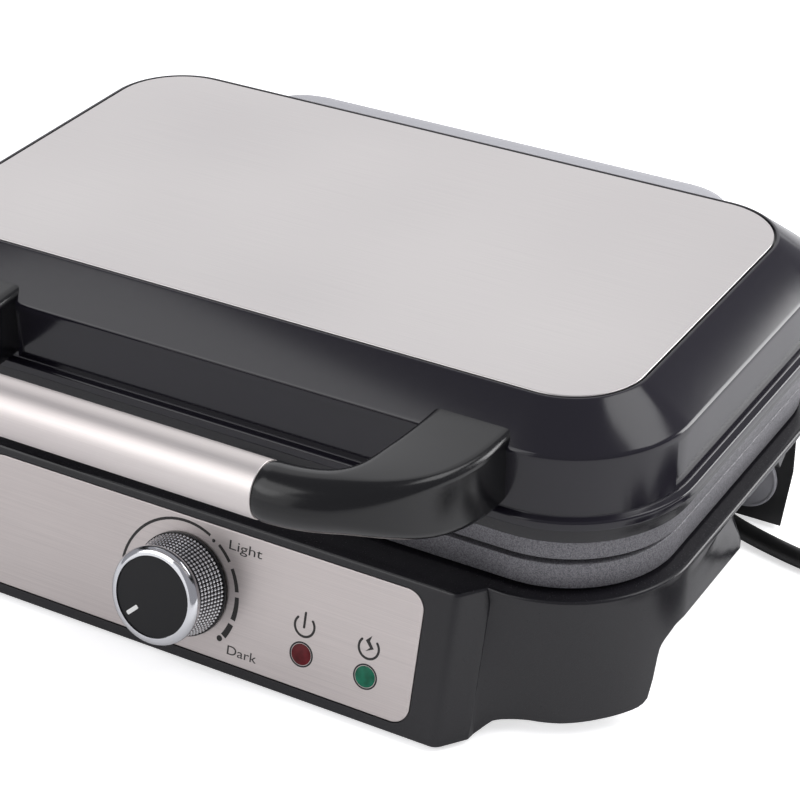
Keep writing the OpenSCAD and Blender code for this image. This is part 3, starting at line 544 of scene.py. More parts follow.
white_tie = moulded("white tie plastic", "#e4e4e2", 0.4, 0.5, 0.01)
cream_ceramic = moulded("steatite ceramic", "#ddd7c8", 0.5, 0.3, 0.01)
lamp_glass = moulded("lamp glass", "#e2b7a2", 0.08, 1.0, 0.001, 0.02)
print("finishes:", len(bpy.data.materials))

# %% [markdown]
# ## The lead
# The mains lead leaves the base at its right rear, through a tapered boot, drops to the table and runs out to the
# right. It is 7 mm rubber-coated cable. What lies out of sight is tied up as a flat coil of three and a bit
# turns with the plug beside it. A curve of one spline with a round bevel suits a cable: its line is the cable's
# own centre line, and its length can be measured.

# %% Route of the lead
cord_d = 7.0
coil_x, coil_y, coil_r = 236.0, 0.0, 42
route_in = np.array([(110, 54, 10.2), (114, 53.9, 9.5), (118, 53.3, 8.4), (122, 52.2, 7.1), (126, 50.6, 6),
                     (130.5, 49.4, 5), (135, 48.2, 4.3), (143, 46.1, 3.7), (152, 43.8, 3.6), (161.5, 41.4, 3.6),
                     (172, 40, 3.6), (184, 39.6, 3.6), (197, 39.9, 3.7), (210, 40.6, 4), (222, 41.5, 4.3)])
route_out = np.array([(278, -2, 11.3), (278, -10, 11.2), (277.6, -18, 10.4), (276.6, -26, 9.2), (275, -34, 8.2),
                      (273, -42, 7.6), (271, -50, 7.3)])


def coil_route(low=4.3, start=100, wound=1180, points_a_turn=24, in_at=300, up_at=590, out_at=890):
    """A wound coil: the angle falls from its start, the radius eases in by one cable and out again, and the
    height rises once, from a lower to an upper layer, each by a smooth step of the degrees wound so far."""
    done = np.arange(0, wound + 0.1, 360 / points_a_turn)
    radius = coil_r - cord_d * smooth((done - in_at) / 70) + cord_d * smooth((done - out_at) / 70)
    z = low + cord_d * smooth((done - up_at) / 80)
    angle = np.radians(start - done)
    return np.stack([coil_x + radius * np.cos(angle), coil_y + radius * np.sin(angle), z], -1)


lead_route = np.vstack([route_in, coil_route(), route_out])

# %% The cable
lead_curve = bpy.data.curves.new("mains_lead", "CURVE")
lead_curve.dimensions = "3D"
lead_curve.bevel_depth = cord_d / 2 * MM
lead_curve.bevel_resolution = 5
lead_curve.resolution_u = 3
lead_curve.use_fill_caps = True
spline = lead_curve.splines.new("NURBS")
spline.points.add(len(lead_route) - 1)
spline.points.foreach_set("co", np.hstack([world(lead_route), np.ones((len(lead_route), 1))]).ravel())
spline.order_u = 4
spline.use_endpoint_u = True
lead_curve.materials.append(cable_black)
lead = bpy.data.objects.new("mains_lead", lead_curve)
bpy.context.scene.collection.objects.link(lead)
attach(lead, "base")
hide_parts("cord", "cord_coil")
print("lead spline points:", len(spline.points))

# %% [markdown]
# ## The lid
# The lid's shell is one moulding. Its section rises from a rounded lip, up a plain wall, over a soft shoulder and
# along a slope to the narrow rim round the panel. Carrying that section round the panel's outline gives the shell.
# The front has a shallow recess between the handle's roots, and each side a long one: there the wall is moved in
# sharply at the recess's edges, so the recess is part of the same grid.

# %% Section of the shell
# The front recess ends at x = +-root_inner, a side one where the corner has turned by pocket_turn degrees. The
# seat is the ledge under the panel's edge.
root_inner, edge_run = 80.8, 0.5
pocket_turn, edge_turn = 11.4, 0.6
front_depth, side_depth = 1.7, 1.5
seat_top, seat_low = top_z - 2.0, top_z - 3.2
wall_mid_z, deep_top = 95.5, shoulder_z - 3.0
lid_path = outline(cuts_x=(-root_inner - edge_run, -root_inner, root_inner, root_inner + edge_run),
                   bends=(pocket_turn, pocket_turn + edge_turn))


def shell_section(wall=2.8, lip_out=2.4):
    """Section of the shell as (offset, height): lip, wall, shoulder, slope, rim and groove, then back inside."""
    o = bevel_run
    lip_low, lip_high = lip_z
    outer = [(o + 0.6, lip_low), (o + lip_out, lip_low + 0.3), (o + lip_out, lip_high - 0.6), (o, lip_high + 0.3),
             (o, lip_high + 0.9), (o, lip_high + 1.3), (o, wall_mid_z), (o, deep_top), (o, deep_top + 0.4),
             (o, shoulder_z), (1.7, top_z - 0.2), (0.8, top_z - 0.1), (0.8, seat_top)]
    radii = [0.7, 1.1, 1.3, 0, 0, 0, 0, 0, 2.4, 1.4, 0.3]
    inner = [(-3.0, seat_top), (-3.0, seat_low), (0.2, seat_low), (o - wall, shoulder_z - 1.2),
             (o - wall, lip_low)]
    return np.vstack([rounded(outer, radii, 6), inner])


print("points in the shell's section:", len(shell_section()))

# %% Lid shell
def lid_shell():
    """Carries the section round the outline, then sinks the recesses: offset -= depth * inside(u) * inside(z).
    A flat ring between the inner and outer walls closes the lower edge."""
    section = shell_section()
    grid = carry(section, lid_path)
    points, normals = lid_path
    wall = np.abs(section[:, 0] - bevel_run) < 0.01
    deep = wall & (section[:, 1] > lip_z[1] + 1.0) & (section[:, 1] < deep_top + 0.3)
    front = (normals[:, 1] < -0.99) & (np.abs(points[:, 0]) <= root_inner + 0.01)
    sides = np.abs(normals[:, 1]) < math.sin(math.radians(pocket_turn + 0.01))
    depth = front_depth * front + side_depth * sides
    grid[..., :2] -= (deep[:, None] * depth[None])[..., None] * normals[None]
    return [grid_part(grid), grid_part(np.stack([grid[-1], grid[0]]))]


panel_seat = solid([(-2.9, seat_low), (-2.9, seat_top)], lid_path)
make_piece("lid_moulding", lid_shell() + [panel_seat], "lid", gloss_black, 28,
           replaces=("lid_shell",))

# %% Steel panel
panel_edge = rounded([(0, top_z - 1.9), (0, top_z), (-1.2, top_z)], [0.5])
make_piece("lid_steel_panel", [solid(panel_edge, lid_path)], "lid", panel_steel, 30,
           replaces=("lid_panel",))

# %% Frame under the shell
# A skirt with an inward flange on top.
frame_o, frame_in, frame_wall, frame_thick = bevel_run + 0.1, 4, 2.5, 2
frame_low, frame_high = frame_z
frame_section = rounded([(frame_o - frame_wall, frame_low), (frame_o, frame_low), (frame_o, frame_high),
                         (frame_in, frame_high), (frame_in, frame_high - frame_thick),
                         (frame_o - frame_wall, frame_high - frame_thick)], [0.5, 0.5, 0.1, 0.1], 3)
make_piece("lid_inner_frame", [solid(frame_section, lid_path, closed=True)], "lid", satin_black, 30,
           replaces=("lid_frame",))

# %% [markdown]
# ## The cooking plates
# Both plates are castings with drafted edges. Their baking fields are height fields: the floor plus a grid of
# blunt posts, each a product of two smooth steps in x and y. The floor leaves the casting its wall thickness.
# The gap between the plates opens towards the front, where the lower plate's top edge dips.

# %% Baking fields
# Two fields side by side with a web between them; wall_run is the run of a field's sloping wall, wall_under the
# metal left under its floor, and post_slope the run of a post's sloping sides.
field_w, field_d, field_web = 122.0, 132.0, 9.0
wall_run, wall_under = 3.0, 3.5
posts, post_height, post_half, post_slope = 5, 4.0, 7.0, 2.6


def field_height(x, y, floor_depth):
    """Depth under the plate's face: the sunk floor with rounded walls, less posts on a 5 x 5 grid per field."""
    u = np.abs(x) - (field_web + field_w) / 2
    wall = np.minimum(field_w / 2 - np.abs(u), field_d / 2 - np.abs(y))
    sunk = floor_depth * smooth(wall / wall_run)
    px, py = field_w / (posts + 1), field_d / (posts + 1)
    cell_x = np.abs((u + field_w / 2 + px / 2) % px - px / 2)
    cell_y = np.abs((y + field_d / 2 + py / 2) % py - py / 2)
    blunt = smooth((post_half - cell_x) / post_slope) * smooth((post_half - cell_y) / post_slope)
    return sunk - post_height * blunt * (wall > px / 2.2)


def field_surface(face_z, down, floor_depth, inset=3, columns=341, rows=193):
    """The whole cooking face inside the rim as one grid, z = face + down * depth."""
    gx, gy = np.meshgrid(np.linspace(-half_x + inset, half_x - inset, columns),
                         np.linspace(-half_y + inset, half_y - inset, rows))
    return grid_part(np.stack([gx, gy, face_z + down * field_height(gx, gy, floor_depth)], -1), wrap_columns=False)


print("posts:", 2 * posts ** 2, "a plate,", post_height, "mm high")

# %% Plates
plate_path = outline(corner=22)
mouth_dip, mouth_run = 1.6, 24
rim_in = -2.9


def plate(node, name, bottom, top, face_top, body, run, draft):
    """A plate: drafted side and rim carried round the outline, the field let into the cooking side."""
    low_o, high_o = run - draft, run
    if face_top:
        section = rounded([(rim_in, bottom + 3.0), (low_o - 3, bottom), (low_o, bottom), (high_o, top),
                           (rim_in, top)], [1, 0.4, 0.5], 3)
    else:
        section = rounded([(rim_in, bottom), (low_o, bottom), (high_o, top), (low_o - 2, top), (rim_in, top)],
                          [0.5, 0.4, 1], 3)
    grid = carry(section, plate_path)
    if face_top:
        upper_edge = grid[..., 2] > top - 1.2
        grid[..., 2] -= smooth((mouth_run - half_y - grid[..., 1]) / mouth_run) * mouth_dip * upper_edge
    face_z, down = (top - 0.02, -1) if face_top else (bottom + 0.02, 1)
    field = field_surface(face_z, down, top - bottom - wall_under)
    make_piece(name, [grid_part(grid), field], body, plate_coat, 35, replaces=(node,))


plate("lower_plate", "lower_cast_plate", *lower_z, True, "base", base_run - 4, 2.0)
plate("upper_plate", "upper_cast_plate", *upper_z, False, "lid", bevel_run - 0.4, 1.5)

# %% [markdown]
# ## The base
# The base is one satin moulding with a sloping nose. Its plan is a closed line whose shape depends on the height:
# the nose's face leans back, its short sides turn in towards the wall, and a hollow blend joins them to the round
# corner. Its lower edge rises and falls round the machine, down to the legs and up over the side openings. So the
# surface is a function of two things, the place along the plan line and the height between the lower edge and
# the rim.

# %% Measures of the base
# The core is the rectangle of the corner arcs' centres. Angles and distances along the wall are closer together
# where the lower edge or the wall changes quickly.
face_tilt = math.radians(15.8)
nose_reach, foot_z = 120.1, 2.0
deck_z = rim_z - 2.8
arch_z = deck_z - 0.1
core_x, core_y = half_x - corner_r, half_y - corner_r
wall_x, wall_y = half_x + base_run, half_y + base_run
wall_r = corner_r + base_run
side_y = np.array([-50.6, -40, -28, -16, -8, -6, -4, -3, -2, 4, 12, 20, 28, 32.5, 37, 38.8, 40.5, 43.2, 46, 48,
                   50])
front_arc = np.radians(np.concatenate([np.linspace(-73.2, -22, 22), np.linspace(-21, -1, 22)]))
rear_arc = np.radians([1.5, 6, 12, 20, 28, 37, 46, 55, 64, 73, 80, 85.1, 85.35, 88])
print("base", round(2 * wall_x, 1), "mm wide, deck at", round(deck_z, 1))


# %% Plan line of the base
def bezier2(a, b, c, n):
    """Quadratic curve (1-t)^2 a + 2t(1-t) b + t^2 c at n steps, for points that may be arrays of rows."""
    t = np.linspace(0, 1, n)[None, :, None]
    a, b, c = (np.asarray(p, float)[:, None, :] for p in (a, b, c))
    return (1 - t) ** 2 * a + 2 * t * (1 - t) * b + t ** 2 * c


def line2(a, b, n):
    """Straight run from a to b at n steps, for points that may be arrays of rows."""
    t = np.linspace(0, 1, n)[None, :, None]
    return np.asarray(a, float)[:, None, :] * (1 - t) + np.asarray(b, float)[:, None, :] * t


def corner_arc(angle, y_side):
    """Points on the round corner of the base, at the front (y_side -1) or the rear (1)."""
    return np.stack([core_x + wall_r * np.cos(angle), y_side * core_y + wall_r * np.sin(angle)], -1)


# The nose's corner, the cheek behind it, and the hollow blend with the elbow that bends it.
nose_x, nose_round, round_share = 100.2, 3.0, 2.6 / 12.0
cheek_y, cheek_run, cheek_in = -97.2, 9.6, 7.2
hollow_x, hollow_y, hollow_slope, elbow = 107.6, -107.0, 0.12, (114.9, -97.5)


def plan(z):
    """Half of the plan line at each height in z, from the middle of the face to the middle of the back, as an
    array (heights, points, 2). The face stands at y = -reach + (z - foot) tan(tilt), and the short side behind
    it, the cheek, shrinks to nothing where the face meets the hollow."""
    z = np.atleast_1d(z).astype(float)

    def pair(x, y):
        """Plan points at every height."""
        return np.stack(np.broadcast_arrays(np.asarray(x, float) + 0 * z, y), -1)

    y_face = -nose_reach + (z - foot_z) * math.tan(face_tilt)
    s = np.clip((cheek_y - y_face) / cheek_run, 0, 1)
    corner = pair(nose_x, y_face)
    side_end = pair(nose_x + cheek_in * s, y_face + cheek_run * s)
    into = corner + (side_end - corner) * round_share
    hollow = pair(hollow_x, np.maximum(side_end[:, 1] + 0.5, hollow_y))
    drawn_in = hollow_x - hollow_slope * np.maximum(hollow[:, 1] - hollow_y, 0)
    hollow[:, 0] = np.maximum(drawn_in, side_end[:, 0] + 0.1)
    blend_end = pair(*corner_arc(front_arc[0], -1))
    parts = [line2(pair(0, y_face), pair(nose_x - nose_round, y_face), 16),
             bezier2(pair(nose_x - nose_round + 0.5, y_face), corner, into, 6),
             line2(into, side_end, 5)[:, 1:], line2(side_end, hollow, 4)[:, 1:],
             bezier2(hollow, pair(*elbow), blend_end, 15)[:, 1:-1]]
    fixed = [corner_arc(front_arc, -1), np.stack([0 * side_y + wall_x, side_y], -1), corner_arc(rear_arc, 1),
             np.stack([np.linspace(core_x, 0, 9), np.full(9, wall_y)], -1)]
    parts += [np.broadcast_to(p, (len(z),) + p.shape) for p in fixed]
    return np.concatenate(parts, 1)


def plan_normals(table):
    """Outward normals of the half line: its tangent turned clockwise, taken straight at both middles."""
    tangent = np.gradient(table, axis=1)
    tangent[:, 0], tangent[:, -1] = (1, 0), (-1, 0)
    normal = np.stack([tangent[..., 1], -tangent[..., 0]], -1)
    return normal / np.maximum(np.linalg.norm(normal, axis=-1, keepdims=True), 1e-9)


half_line = plan(foot_z)[0]
print("points on half the plan line:", len(half_line))

# %% Lower edge of the base
leg_edge = rounded([(-96.7, 5.4), (-91.8, 5.4), (-84.2, 6.4), (-69.4, 7.4), (-65.6, 29.5), (-58, 34), (-6, 34)],
                   [0, 3, 6, 7, 7, 0], 5)
opening = np.array([(-5, 34.6), (-4, 36), (-3, 44), (-2, arch_z), (28, arch_z), (37, 46), (40.5, 40), (46, 44),
                    (50, arch_z), (90.5, arch_z)])
side_edge = np.vstack([leg_edge, opening])


def lower_edge(rear_z=7.4):
    """Height of the lower edge at each point of the half line: the foot level along the nose, a step up to 6
    across the hollow blend, then the side profile read by its distance back, and its own level along the rear."""
    x, y = half_line.T
    step_up = np.interp(y, [-106.8, -101.9, -100.0, -94.0], [foot_z, 6.0, 6.0, 5.4])
    nose = np.where(x < 106.4, foot_z, step_up)
    by_side = np.interp(y, side_edge[:, 0], side_edge[:, 1])
    rear = np.where(x > 115.0, arch_z, rear_z)
    return np.where(y > 50, rear, np.where((y < 0) & (x < 124.4), nose, by_side))


print("lower edge from", round(float(lower_edge().min()), 1), "to", round(float(lower_edge().max()), 1))


# %% Rows of the base
def scoop(heights, deepest=5.0):
    """A soft hollow in the side wall, before the opening: its depth grows by a smooth step of the distance beyond
    a slanting line from (y -37, z 52) to (y -6, z 34), and it runs out just under the rim."""
    y = half_line[:, 1][None]
    a, b = np.array([-37.0, 52.0]), np.array([-6.0, 34.0])
    run = (b - a) / np.linalg.norm(b - a)
    beyond = (heights - a[1]) * run[0] - (y - a[0]) * run[1]
    side = (half_line[:, 0] > wall_x - 0.5)[None] & (y < 50)
    return deepest * smooth(beyond / 12) * side * smooth((rim_z - 2.2 - heights) / 2.5)


def base_rows(wall=2.3):
    """Heights and offsets of the rows, and how many of them are outside. They climb the wall from the lower
    edge, go round the rim by (rise, offset) pairs that shrink along the nose, and come back along the inner
    wall."""
    low = lower_edge()
    start_z, inner_z = rim_z - 1.3, deck_z - 0.05
    rise = np.concatenate([[0, 0.5], np.linspace(1.4, 50, 15)]) / 50
    rim = np.array([(0.35, -0.06), (0.7, -0.25), (1.0, -0.65), (1.2, -1.2), (1.3, -2.0)])
    nose = np.clip((115 - half_line[:, 0]) / 8, 0, 1) * (half_line[:, 1] < -90)
    inner = np.array([1.0, 0.66, 0.33, 0.0])
    level = 0 * low
    heights = [low + rise[:, None] * (start_z - low), start_z + rim[:, :1] + level,
               low + inner[:, None] * (inner_z - low)]
    offsets = [np.where(rise[:, None] > 0, 0.0, -0.6) + level, rim[:, 1:] * (1 - 0.6 * nose),
               np.full((len(inner), len(low)), -wall)]
    heights = np.vstack(heights)
    return heights, np.vstack(offsets) - scoop(heights), len(rise) + len(rim)


print("rows of the base:", len(base_rows()[0]), "of which outside:", base_rows()[2])


# %% Surface of the base
def full_ring(half):
    """Mirrors the half line about x = 0 into a closed one, keeping the two middle points once."""
    other = half[:, -2:0:-1] * (-1, 1, 1)
    return np.concatenate([half, other], 1)


def base_grid(levels=67, seat_run=4.0):
    """Each row is the plan line at its own height, moved along its normals by an offset; the plan is worked out
    at even levels and blended between them. Between the outer and the inner rows two more cross the deck to the
    plate's seat and turn down, and the grid closes on itself."""
    heights, offsets, outer_rows = base_rows()
    table = plan(np.linspace(foot_z, rim_z, levels))
    where = (heights - foot_z) / (rim_z - foot_z) * (levels - 1)
    below = np.clip(where.astype(int), 0, levels - 2)
    share = (where - below)[..., None]
    column = np.broadcast_to(np.arange(len(half_line)), heights.shape)
    line = table[below, column] * (1 - share) + table[below + 1, column] * share
    line = line + offsets[..., None] * plan_normals(table)[below, column]
    grid = np.concatenate([line, heights[..., None]], -1)
    core = np.clip(grid[outer_rows - 1, :, :2], (-core_x, -core_y), (core_x, core_y))
    out = grid[outer_rows - 1, :, :2] - core
    seat = core + out / np.linalg.norm(out, axis=1, keepdims=True) * (corner_r + seat_run)
    deck = [np.concatenate([seat, np.full((len(seat), 1), z)], -1)[None] for z in (rim_z, deck_z)]
    return full_ring(np.concatenate([grid[:outer_rows], *deck, grid[outer_rows:]], 0))


base = make_piece("base_moulding", [grid_part(base_grid(), wrap_rows=True)], "base", satin_black, 32,
                  replaces=("base_housing",), weld=2e-6)

# %% [markdown]
# ## The front plate
# The plate is brushed sheet, 1.2 mm thick, let flush into the sloping face with a narrow dark line round it. Its
# places are given on the face itself: x across, s up the slope and a height off it. The recess is cut from the
# moulding with a boolean, because its outline has nothing to do with the grid of the wall.

# %% Points on the sloping face
def on_face(points):
    """Maps (x, s, off) on the face to space: the slope runs (0, sin a, cos a), and its normal is
    (0, -cos a, sin a)."""
    x, s, off = np.asarray(points, float).reshape(-1, 3).T
    a = face_tilt
    return np.stack([x, -nose_reach + s * math.sin(a) - off * math.cos(a),
                     foot_z + s * math.cos(a) + off * math.sin(a)], -1)


def plate_at(s, hx, hy, r, section):
    """A rounded plate in the middle of the face: a section of (inset, off) carried round its outline."""
    grid, faces = solid(section, outline(hx, hy, r, 12))
    return on_face(grid + (0, s, 0)), faces


def disc_at(x, s, section, columns=64, wrap=False):
    """A turned form on the face: a section of (radius, off) revolved about the face's normal at (x, s)."""
    radius, off = np.asarray(section, float).T
    grid, faces = turned(radius, off, columns, wrap)
    return on_face(grid + (x, s, 0)), faces


print("the face's foot stands at y, z =", np.round(on_face([(0, 0, 0)])[0, 1:], 1))


# %% Recess
def cut(piece, cutter):
    """Takes a cutter's volume out of a piece with an exact boolean, then removes the cutter."""
    modifier = piece.modifiers.new("cut", "BOOLEAN")
    modifier.object, modifier.operation, modifier.solver = cutter, "DIFFERENCE", "EXACT"
    result = bpy.data.meshes.new_from_object(piece.evaluated_get(bpy.context.evaluated_depsgraph_get()))
    piece.modifiers.clear()
    name, old, cutter_mesh = piece.data.name, piece.data, cutter.data
    piece.data = result
    bpy.data.meshes.remove(old)
    result.name = name
    bpy.data.objects.remove(cutter)
    bpy.data.meshes.remove(cutter_mesh)
    return len(result.polygons)


plate_s, plate_hx, plate_hy, plate_r, plate_thick, plate_line = 27.95, 88.8, 23.65, 6.5, 1.2, 0.35
recess = mesh_object("recess", [plate_at(plate_s, plate_hx + plate_line, plate_hy + plate_line,
                                         plate_r + plate_line, [(0, -plate_thick - 0.05), (0, 3)])])
print("base faces after the recess:", cut(base, recess))
smooth_faces(base, 32)

# %% Brushed plate
sheet_edge = rounded([(0, -plate_thick), (0, 0), (-0.8, 0)], [0.25], 4)
make_piece("front_steel_plate", [plate_at(plate_s, plate_hx, plate_hy, plate_r, sheet_edge)], "base",
           fascia_steel, 30, replaces=("front_plate",))

# %% [markdown]
# ## Printing on the plate
# The dial marks, two words and two signs are screen printed in near-black ink. Each is a film that stands
# 0.05 mm proud of the steel. Arcs and dashes are strips bent round the knob's centre; the words are set as text
# and made a mesh before they are laid on the slope. The left of the plate stays bare.

# %% Printed strips
ink_low, ink_high = -0.02, 0.05


def strip(centre, width):
    """A flat strip of ink: a centre line of (x, s) points thickened to a width across it, closed as a solid."""
    centre = np.asarray(centre, float)
    run = np.gradient(centre, axis=0)
    side = np.stack([-run[:, 1], run[:, 0]], -1) / np.linalg.norm(run, axis=1, keepdims=True)
    half = side * np.broadcast_to(np.asarray(width, float) / 2, (len(centre),))[:, None]
    corners = ((half, ink_low), (-half, ink_low), (-half, ink_high), (half, ink_high))
    ring = [np.c_[centre + shift, np.full(len(centre), level)] for shift, level in corners]
    return on_face(np.stack(ring, 1)), grid_faces(len(centre), 4, caps=(True, True))


def arc(cx, cs, r, start, end, n=16):
    """Points on a circle of the face from one angle to another, in degrees."""
    a = np.radians(np.linspace(start, end, n))
    return np.stack([cx + r * np.cos(a), cs + r * np.sin(a)], -1)


def dot(x, s, r):
    """A round spot of ink."""
    return disc_at(x, s, [(r, ink_low), (r, ink_high)], 20)


def flat_shape(points):
    """A closed outline of (x, s) points as a thin solid of ink."""
    grid = np.stack([np.c_[points, np.full(len(points), level)] for level in (ink_low, ink_high)])
    return on_face(grid), grid_faces(2, len(points), caps=(True, True))


print("ink stands", ink_high, "mm proud")


# %% Dial
# Each row: two angles and two widths. A thin arc comes first, then dashes that widen towards "Dark".
dial_x, dial_s, dial_r, dash_points = -4.7, 26.0, 23.7, 20
dashes = [(172, 64.5, 1.0, 1.0), (53.5, 37, 1.1, 1.2), (31, 11, 1.3, 1.5), (6.5, -14, 1.6, 1.9),
          (-18.5, -32, 2.1, 2.3)]
marks = [strip(arc(dial_x, dial_s, dial_r, a, b, dash_points), np.linspace(w0, w1, dash_points))
         for a, b, w0, w1 in dashes]
marks += [dot(7.1, 45.9, 0.65), dot(14.0, 12.2, 1.1)]
make_piece("dial_marks", marks, "base", dark_ink, 30)

# %% Signs of the pilot lights
# An open ring with a bar says power, and one with a bolt says heat.
sign_s, sign_r, line_w, end_r = 26.9, 3.8, 0.85, 0.42
bar_x, bar_s = 45.95, (26.4, 29, 31.6)


def open_ring(x):
    """The ring of a sign, open at its top, and the round ends of its line."""
    ends = [dot(x + side * 2.87, sign_s + 2.49, end_r) for side in (-1, 1)]
    return strip(arc(x, sign_s, sign_r, 139, 401, 32), line_w), ends


power_ring, power_ends = open_ring(46.1)
heat_ring, heat_ends = open_ring(71.0)
bar = strip([(bar_x, s) for s in bar_s], line_w)
bar_ends = [dot(bar_x, s, end_r) for s in (bar_s[0], bar_s[-1])]
bolt = flat_shape([(71.7, 31.5), (69.5, 29.3), (71.4, 27.1), (69.9, 25.5), (72.9, 27.0), (71.1, 29.4)])
make_piece("pilot_signs", [power_ring, bar, *power_ends, *bar_ends, heat_ring, *heat_ends, bolt], "base",
           dark_ink, 30)


# %% Printed words
def printed_word(name, word, x, s, width, size=4.75):
    """Sets a word as text, makes it a mesh, stretches it to its width and lays it on the slope."""
    text = bpy.data.curves.new(name, "FONT")
    text.body = word
    text.size = size
    text.resolution_u = 6
    text.extrude = (ink_high - ink_low) / 2
    setter = bpy.data.objects.new(name, text)
    bpy.context.scene.collection.objects.link(setter)
    flat = bpy.data.meshes.new_from_object(setter.evaluated_get(bpy.context.evaluated_depsgraph_get()))
    bpy.data.objects.remove(setter)
    bpy.data.curves.remove(text)
    points = np.empty(len(flat.vertices) * 3)
    flat.vertices.foreach_get("co", points)
    points = points.reshape(-1, 3)
    points[:, 0] = (points[:, 0] - points[:, 0].min()) / np.ptp(points[:, 0]) * width
    faces = [list(face.vertices) for face in flat.polygons]
    bpy.data.meshes.remove(flat)
    make_piece(name, [(on_face(points + (x, s, 0.01)), faces)], "base", dark_ink, 30)


printed_word("word_light", "Light", 13.4, 44.9, 13.2)
printed_word("word_dark", "Dark", 17.6, 7.6, 11.8)

# %% [markdown]
# ## Pilot lights
# Each pilot light is a low dome of dyed polycarbonate in a shallow well, a matt black ring that stands just proud
# of the steel; its black is painted shade, standing for the shadow in the recess round the lens. The plastic is
# glossy and its dye deep, so it looks wet, and nearly black towards its edge.

# %% Lenses
pilot_x, pilot_s, lens_r = (46.2, 71.1), 16.6, 3.98


def lens(name, node, x, material):
    """A low dome: off = 0.6 (1 - (r / R)^2) - 0.05 inside a black ring of painted shade."""
    r = np.linspace(lens_r, 0, 12)
    dome = np.stack([r, 0.6 * (1 - (r / lens_r) ** 2) - 0.05], -1)
    make_piece(name, [disc_at(x, pilot_s, np.vstack([[(lens_r, -4)], dome]), 48)], "base", material, 40,
               replaces=(node,))


lens("red_pilot_lens", "red_lens", pilot_x[0], red_glow)
lens("green_pilot_lens", "green_lens", pilot_x[1], green_glow)
# The wells' matt black ring is painted shade: it stands for the shadow in the recess round each lens.
ring = rounded([(4.0, -1.0), (4.6, -1.0), (4.6, 0.1), (4.0, 0.1)], [0.1, 0.2], 3)
make_piece("pilot_wells", [disc_at(x, pilot_s, ring, 48, wrap=True) for x in pilot_x], "base", matt_black, 35)

# %% [markdown]
# ## The browning knob
# The knob is a black core with a chromed, knurled drum and a wide polished bezel round a dark lacquered face. The
# drum narrows towards the front. Its knurl is rows and columns of small pyramids: at angle a and a share v of the
# drum's height the radius is R(v) - depth (1 - |cos(n a / 2)| sin(rows pi v)^2). Only the drum's own wall is that
# fine, so it gets a dense grid and the rest stays light.

# %% Knurled drum
knob_x, knob_s = -3.5, 27.0
knob_h, drum_r, drum_flare, bezel_r, face_r, bore_r = 18.3, 16.3, 2.0, 17.5, 14.5, 13.8
drum_low, drum_high, bezel_low = 1.2, knob_h - 6, knob_h - 3.9
teeth, knurl_rows, knurl_depth, tooth_points = 76, 7, 0.6, 8


def drum_radius(v):
    """The drum's crest radius at the share v of its height: R = R1 + flare (1 - v)."""
    return drum_r + drum_flare * (1 - v)


def knurl():
    """The drum's wall as a grid of angle and height, with the crossed grooves sunk into it, and its inner wall."""
    columns = teeth * tooth_points
    v = np.linspace(0, 1, knurl_rows * tooth_points + 1)[:, None]
    a = np.arange(columns) / columns * 2 * math.pi
    crest = np.abs(np.cos(teeth * a / 2)) * np.sin(knurl_rows * math.pi * v) ** 2
    inside = np.full((1, columns), drum_r - 2.4)
    radius = np.vstack([inside, drum_radius(v) - knurl_depth * (1 - crest), inside])
    h = np.vstack([[[drum_low]], drum_low + v * (drum_high - drum_low), [[drum_high]]])
    grid, faces = turned(radius, h, columns, wrap=True)
    return on_face(grid + (knob_x, knob_s, 0)), faces


def mark_crests(piece):
    """Writes the crest attribute: 1 - (R(v) - r) / depth, from each point's own distance to the knob's axis."""
    mesh = piece.data
    points = np.empty(len(mesh.vertices) * 3)
    mesh.vertices.foreach_get("co", points)
    axis = world(on_face([(knob_x, knob_s, 0), (knob_x, knob_s, 1 / MM)]))
    along = axis[1] - axis[0]
    offset = points.reshape(-1, 3) - axis[0]
    h = offset @ along
    r = np.linalg.norm(offset - h[:, None] * along, axis=1) / MM
    v = (h / MM - drum_low) / (drum_high - drum_low)
    crest = np.clip(1 - (drum_radius(v) - r) / knurl_depth, 0, 1)
    mesh.attributes.new("crest", "FLOAT", "POINT").data.foreach_set("value", crest.astype(np.float32))
    return float(crest.mean())


# The crest attribute steers the drum's painted shade: the grooves are painted dark, the crests bright.
drum = make_piece("knob_knurled_drum", [knurl()], "knob", knurl_chrome_painted_shade, 75, replaces=("knob_drum",))
print("mean crest", round(mark_crests(drum), 2))


# %% Core, bezel and face
def knob_part(name, node, section, material, sharp, columns=72, wrap=False):
    """A part of the knob turned about its axis."""
    make_piece(name, [disc_at(knob_x, knob_s, section, columns, wrap)], "knob", material, sharp, replaces=(node,))


skirt_r, neck_r = 18.6, 15.6
core = rounded([(0, 0.5), (skirt_r, 0.5), (skirt_r, drum_low), (bore_r, drum_low), (bore_r, drum_high),
                (neck_r, drum_high), (neck_r, bezel_low), (0, bezel_low)], [0.3, 0.3, 0.1, 0.1, 0.2, 0.1], 3)
knob_part("knob_black_core", "knob_core", core, handle_black, 30)
quarter = np.radians(np.linspace(0, 90, 14))
crown = np.stack([face_r + (bezel_r - face_r) * np.cos(quarter), bezel_low + 1.2 + 2.7 * np.sin(quarter)], -1)
bezel = np.vstack([[(bore_r, bezel_low), (16.3, bezel_low), (17.2, bezel_low + 0.3)], crown,
                   [(face_r, knob_h - 1.4), (bore_r, knob_h - 1.4)]])
knob_part("knob_bezel_ring", "knob_bezel", bezel, chrome, 40, columns=96, wrap=True)
face_top, face_edge = knob_h - 0.5, face_r - 0.1
face = rounded([(0, knob_h - 1.4), (face_edge, knob_h - 1.4), (face_edge, face_top), (0, face_top)],
               [0.05, 0.25], 4)
knob_part("knob_face_disc", "knob_face", face, knob_lacquer, 30)


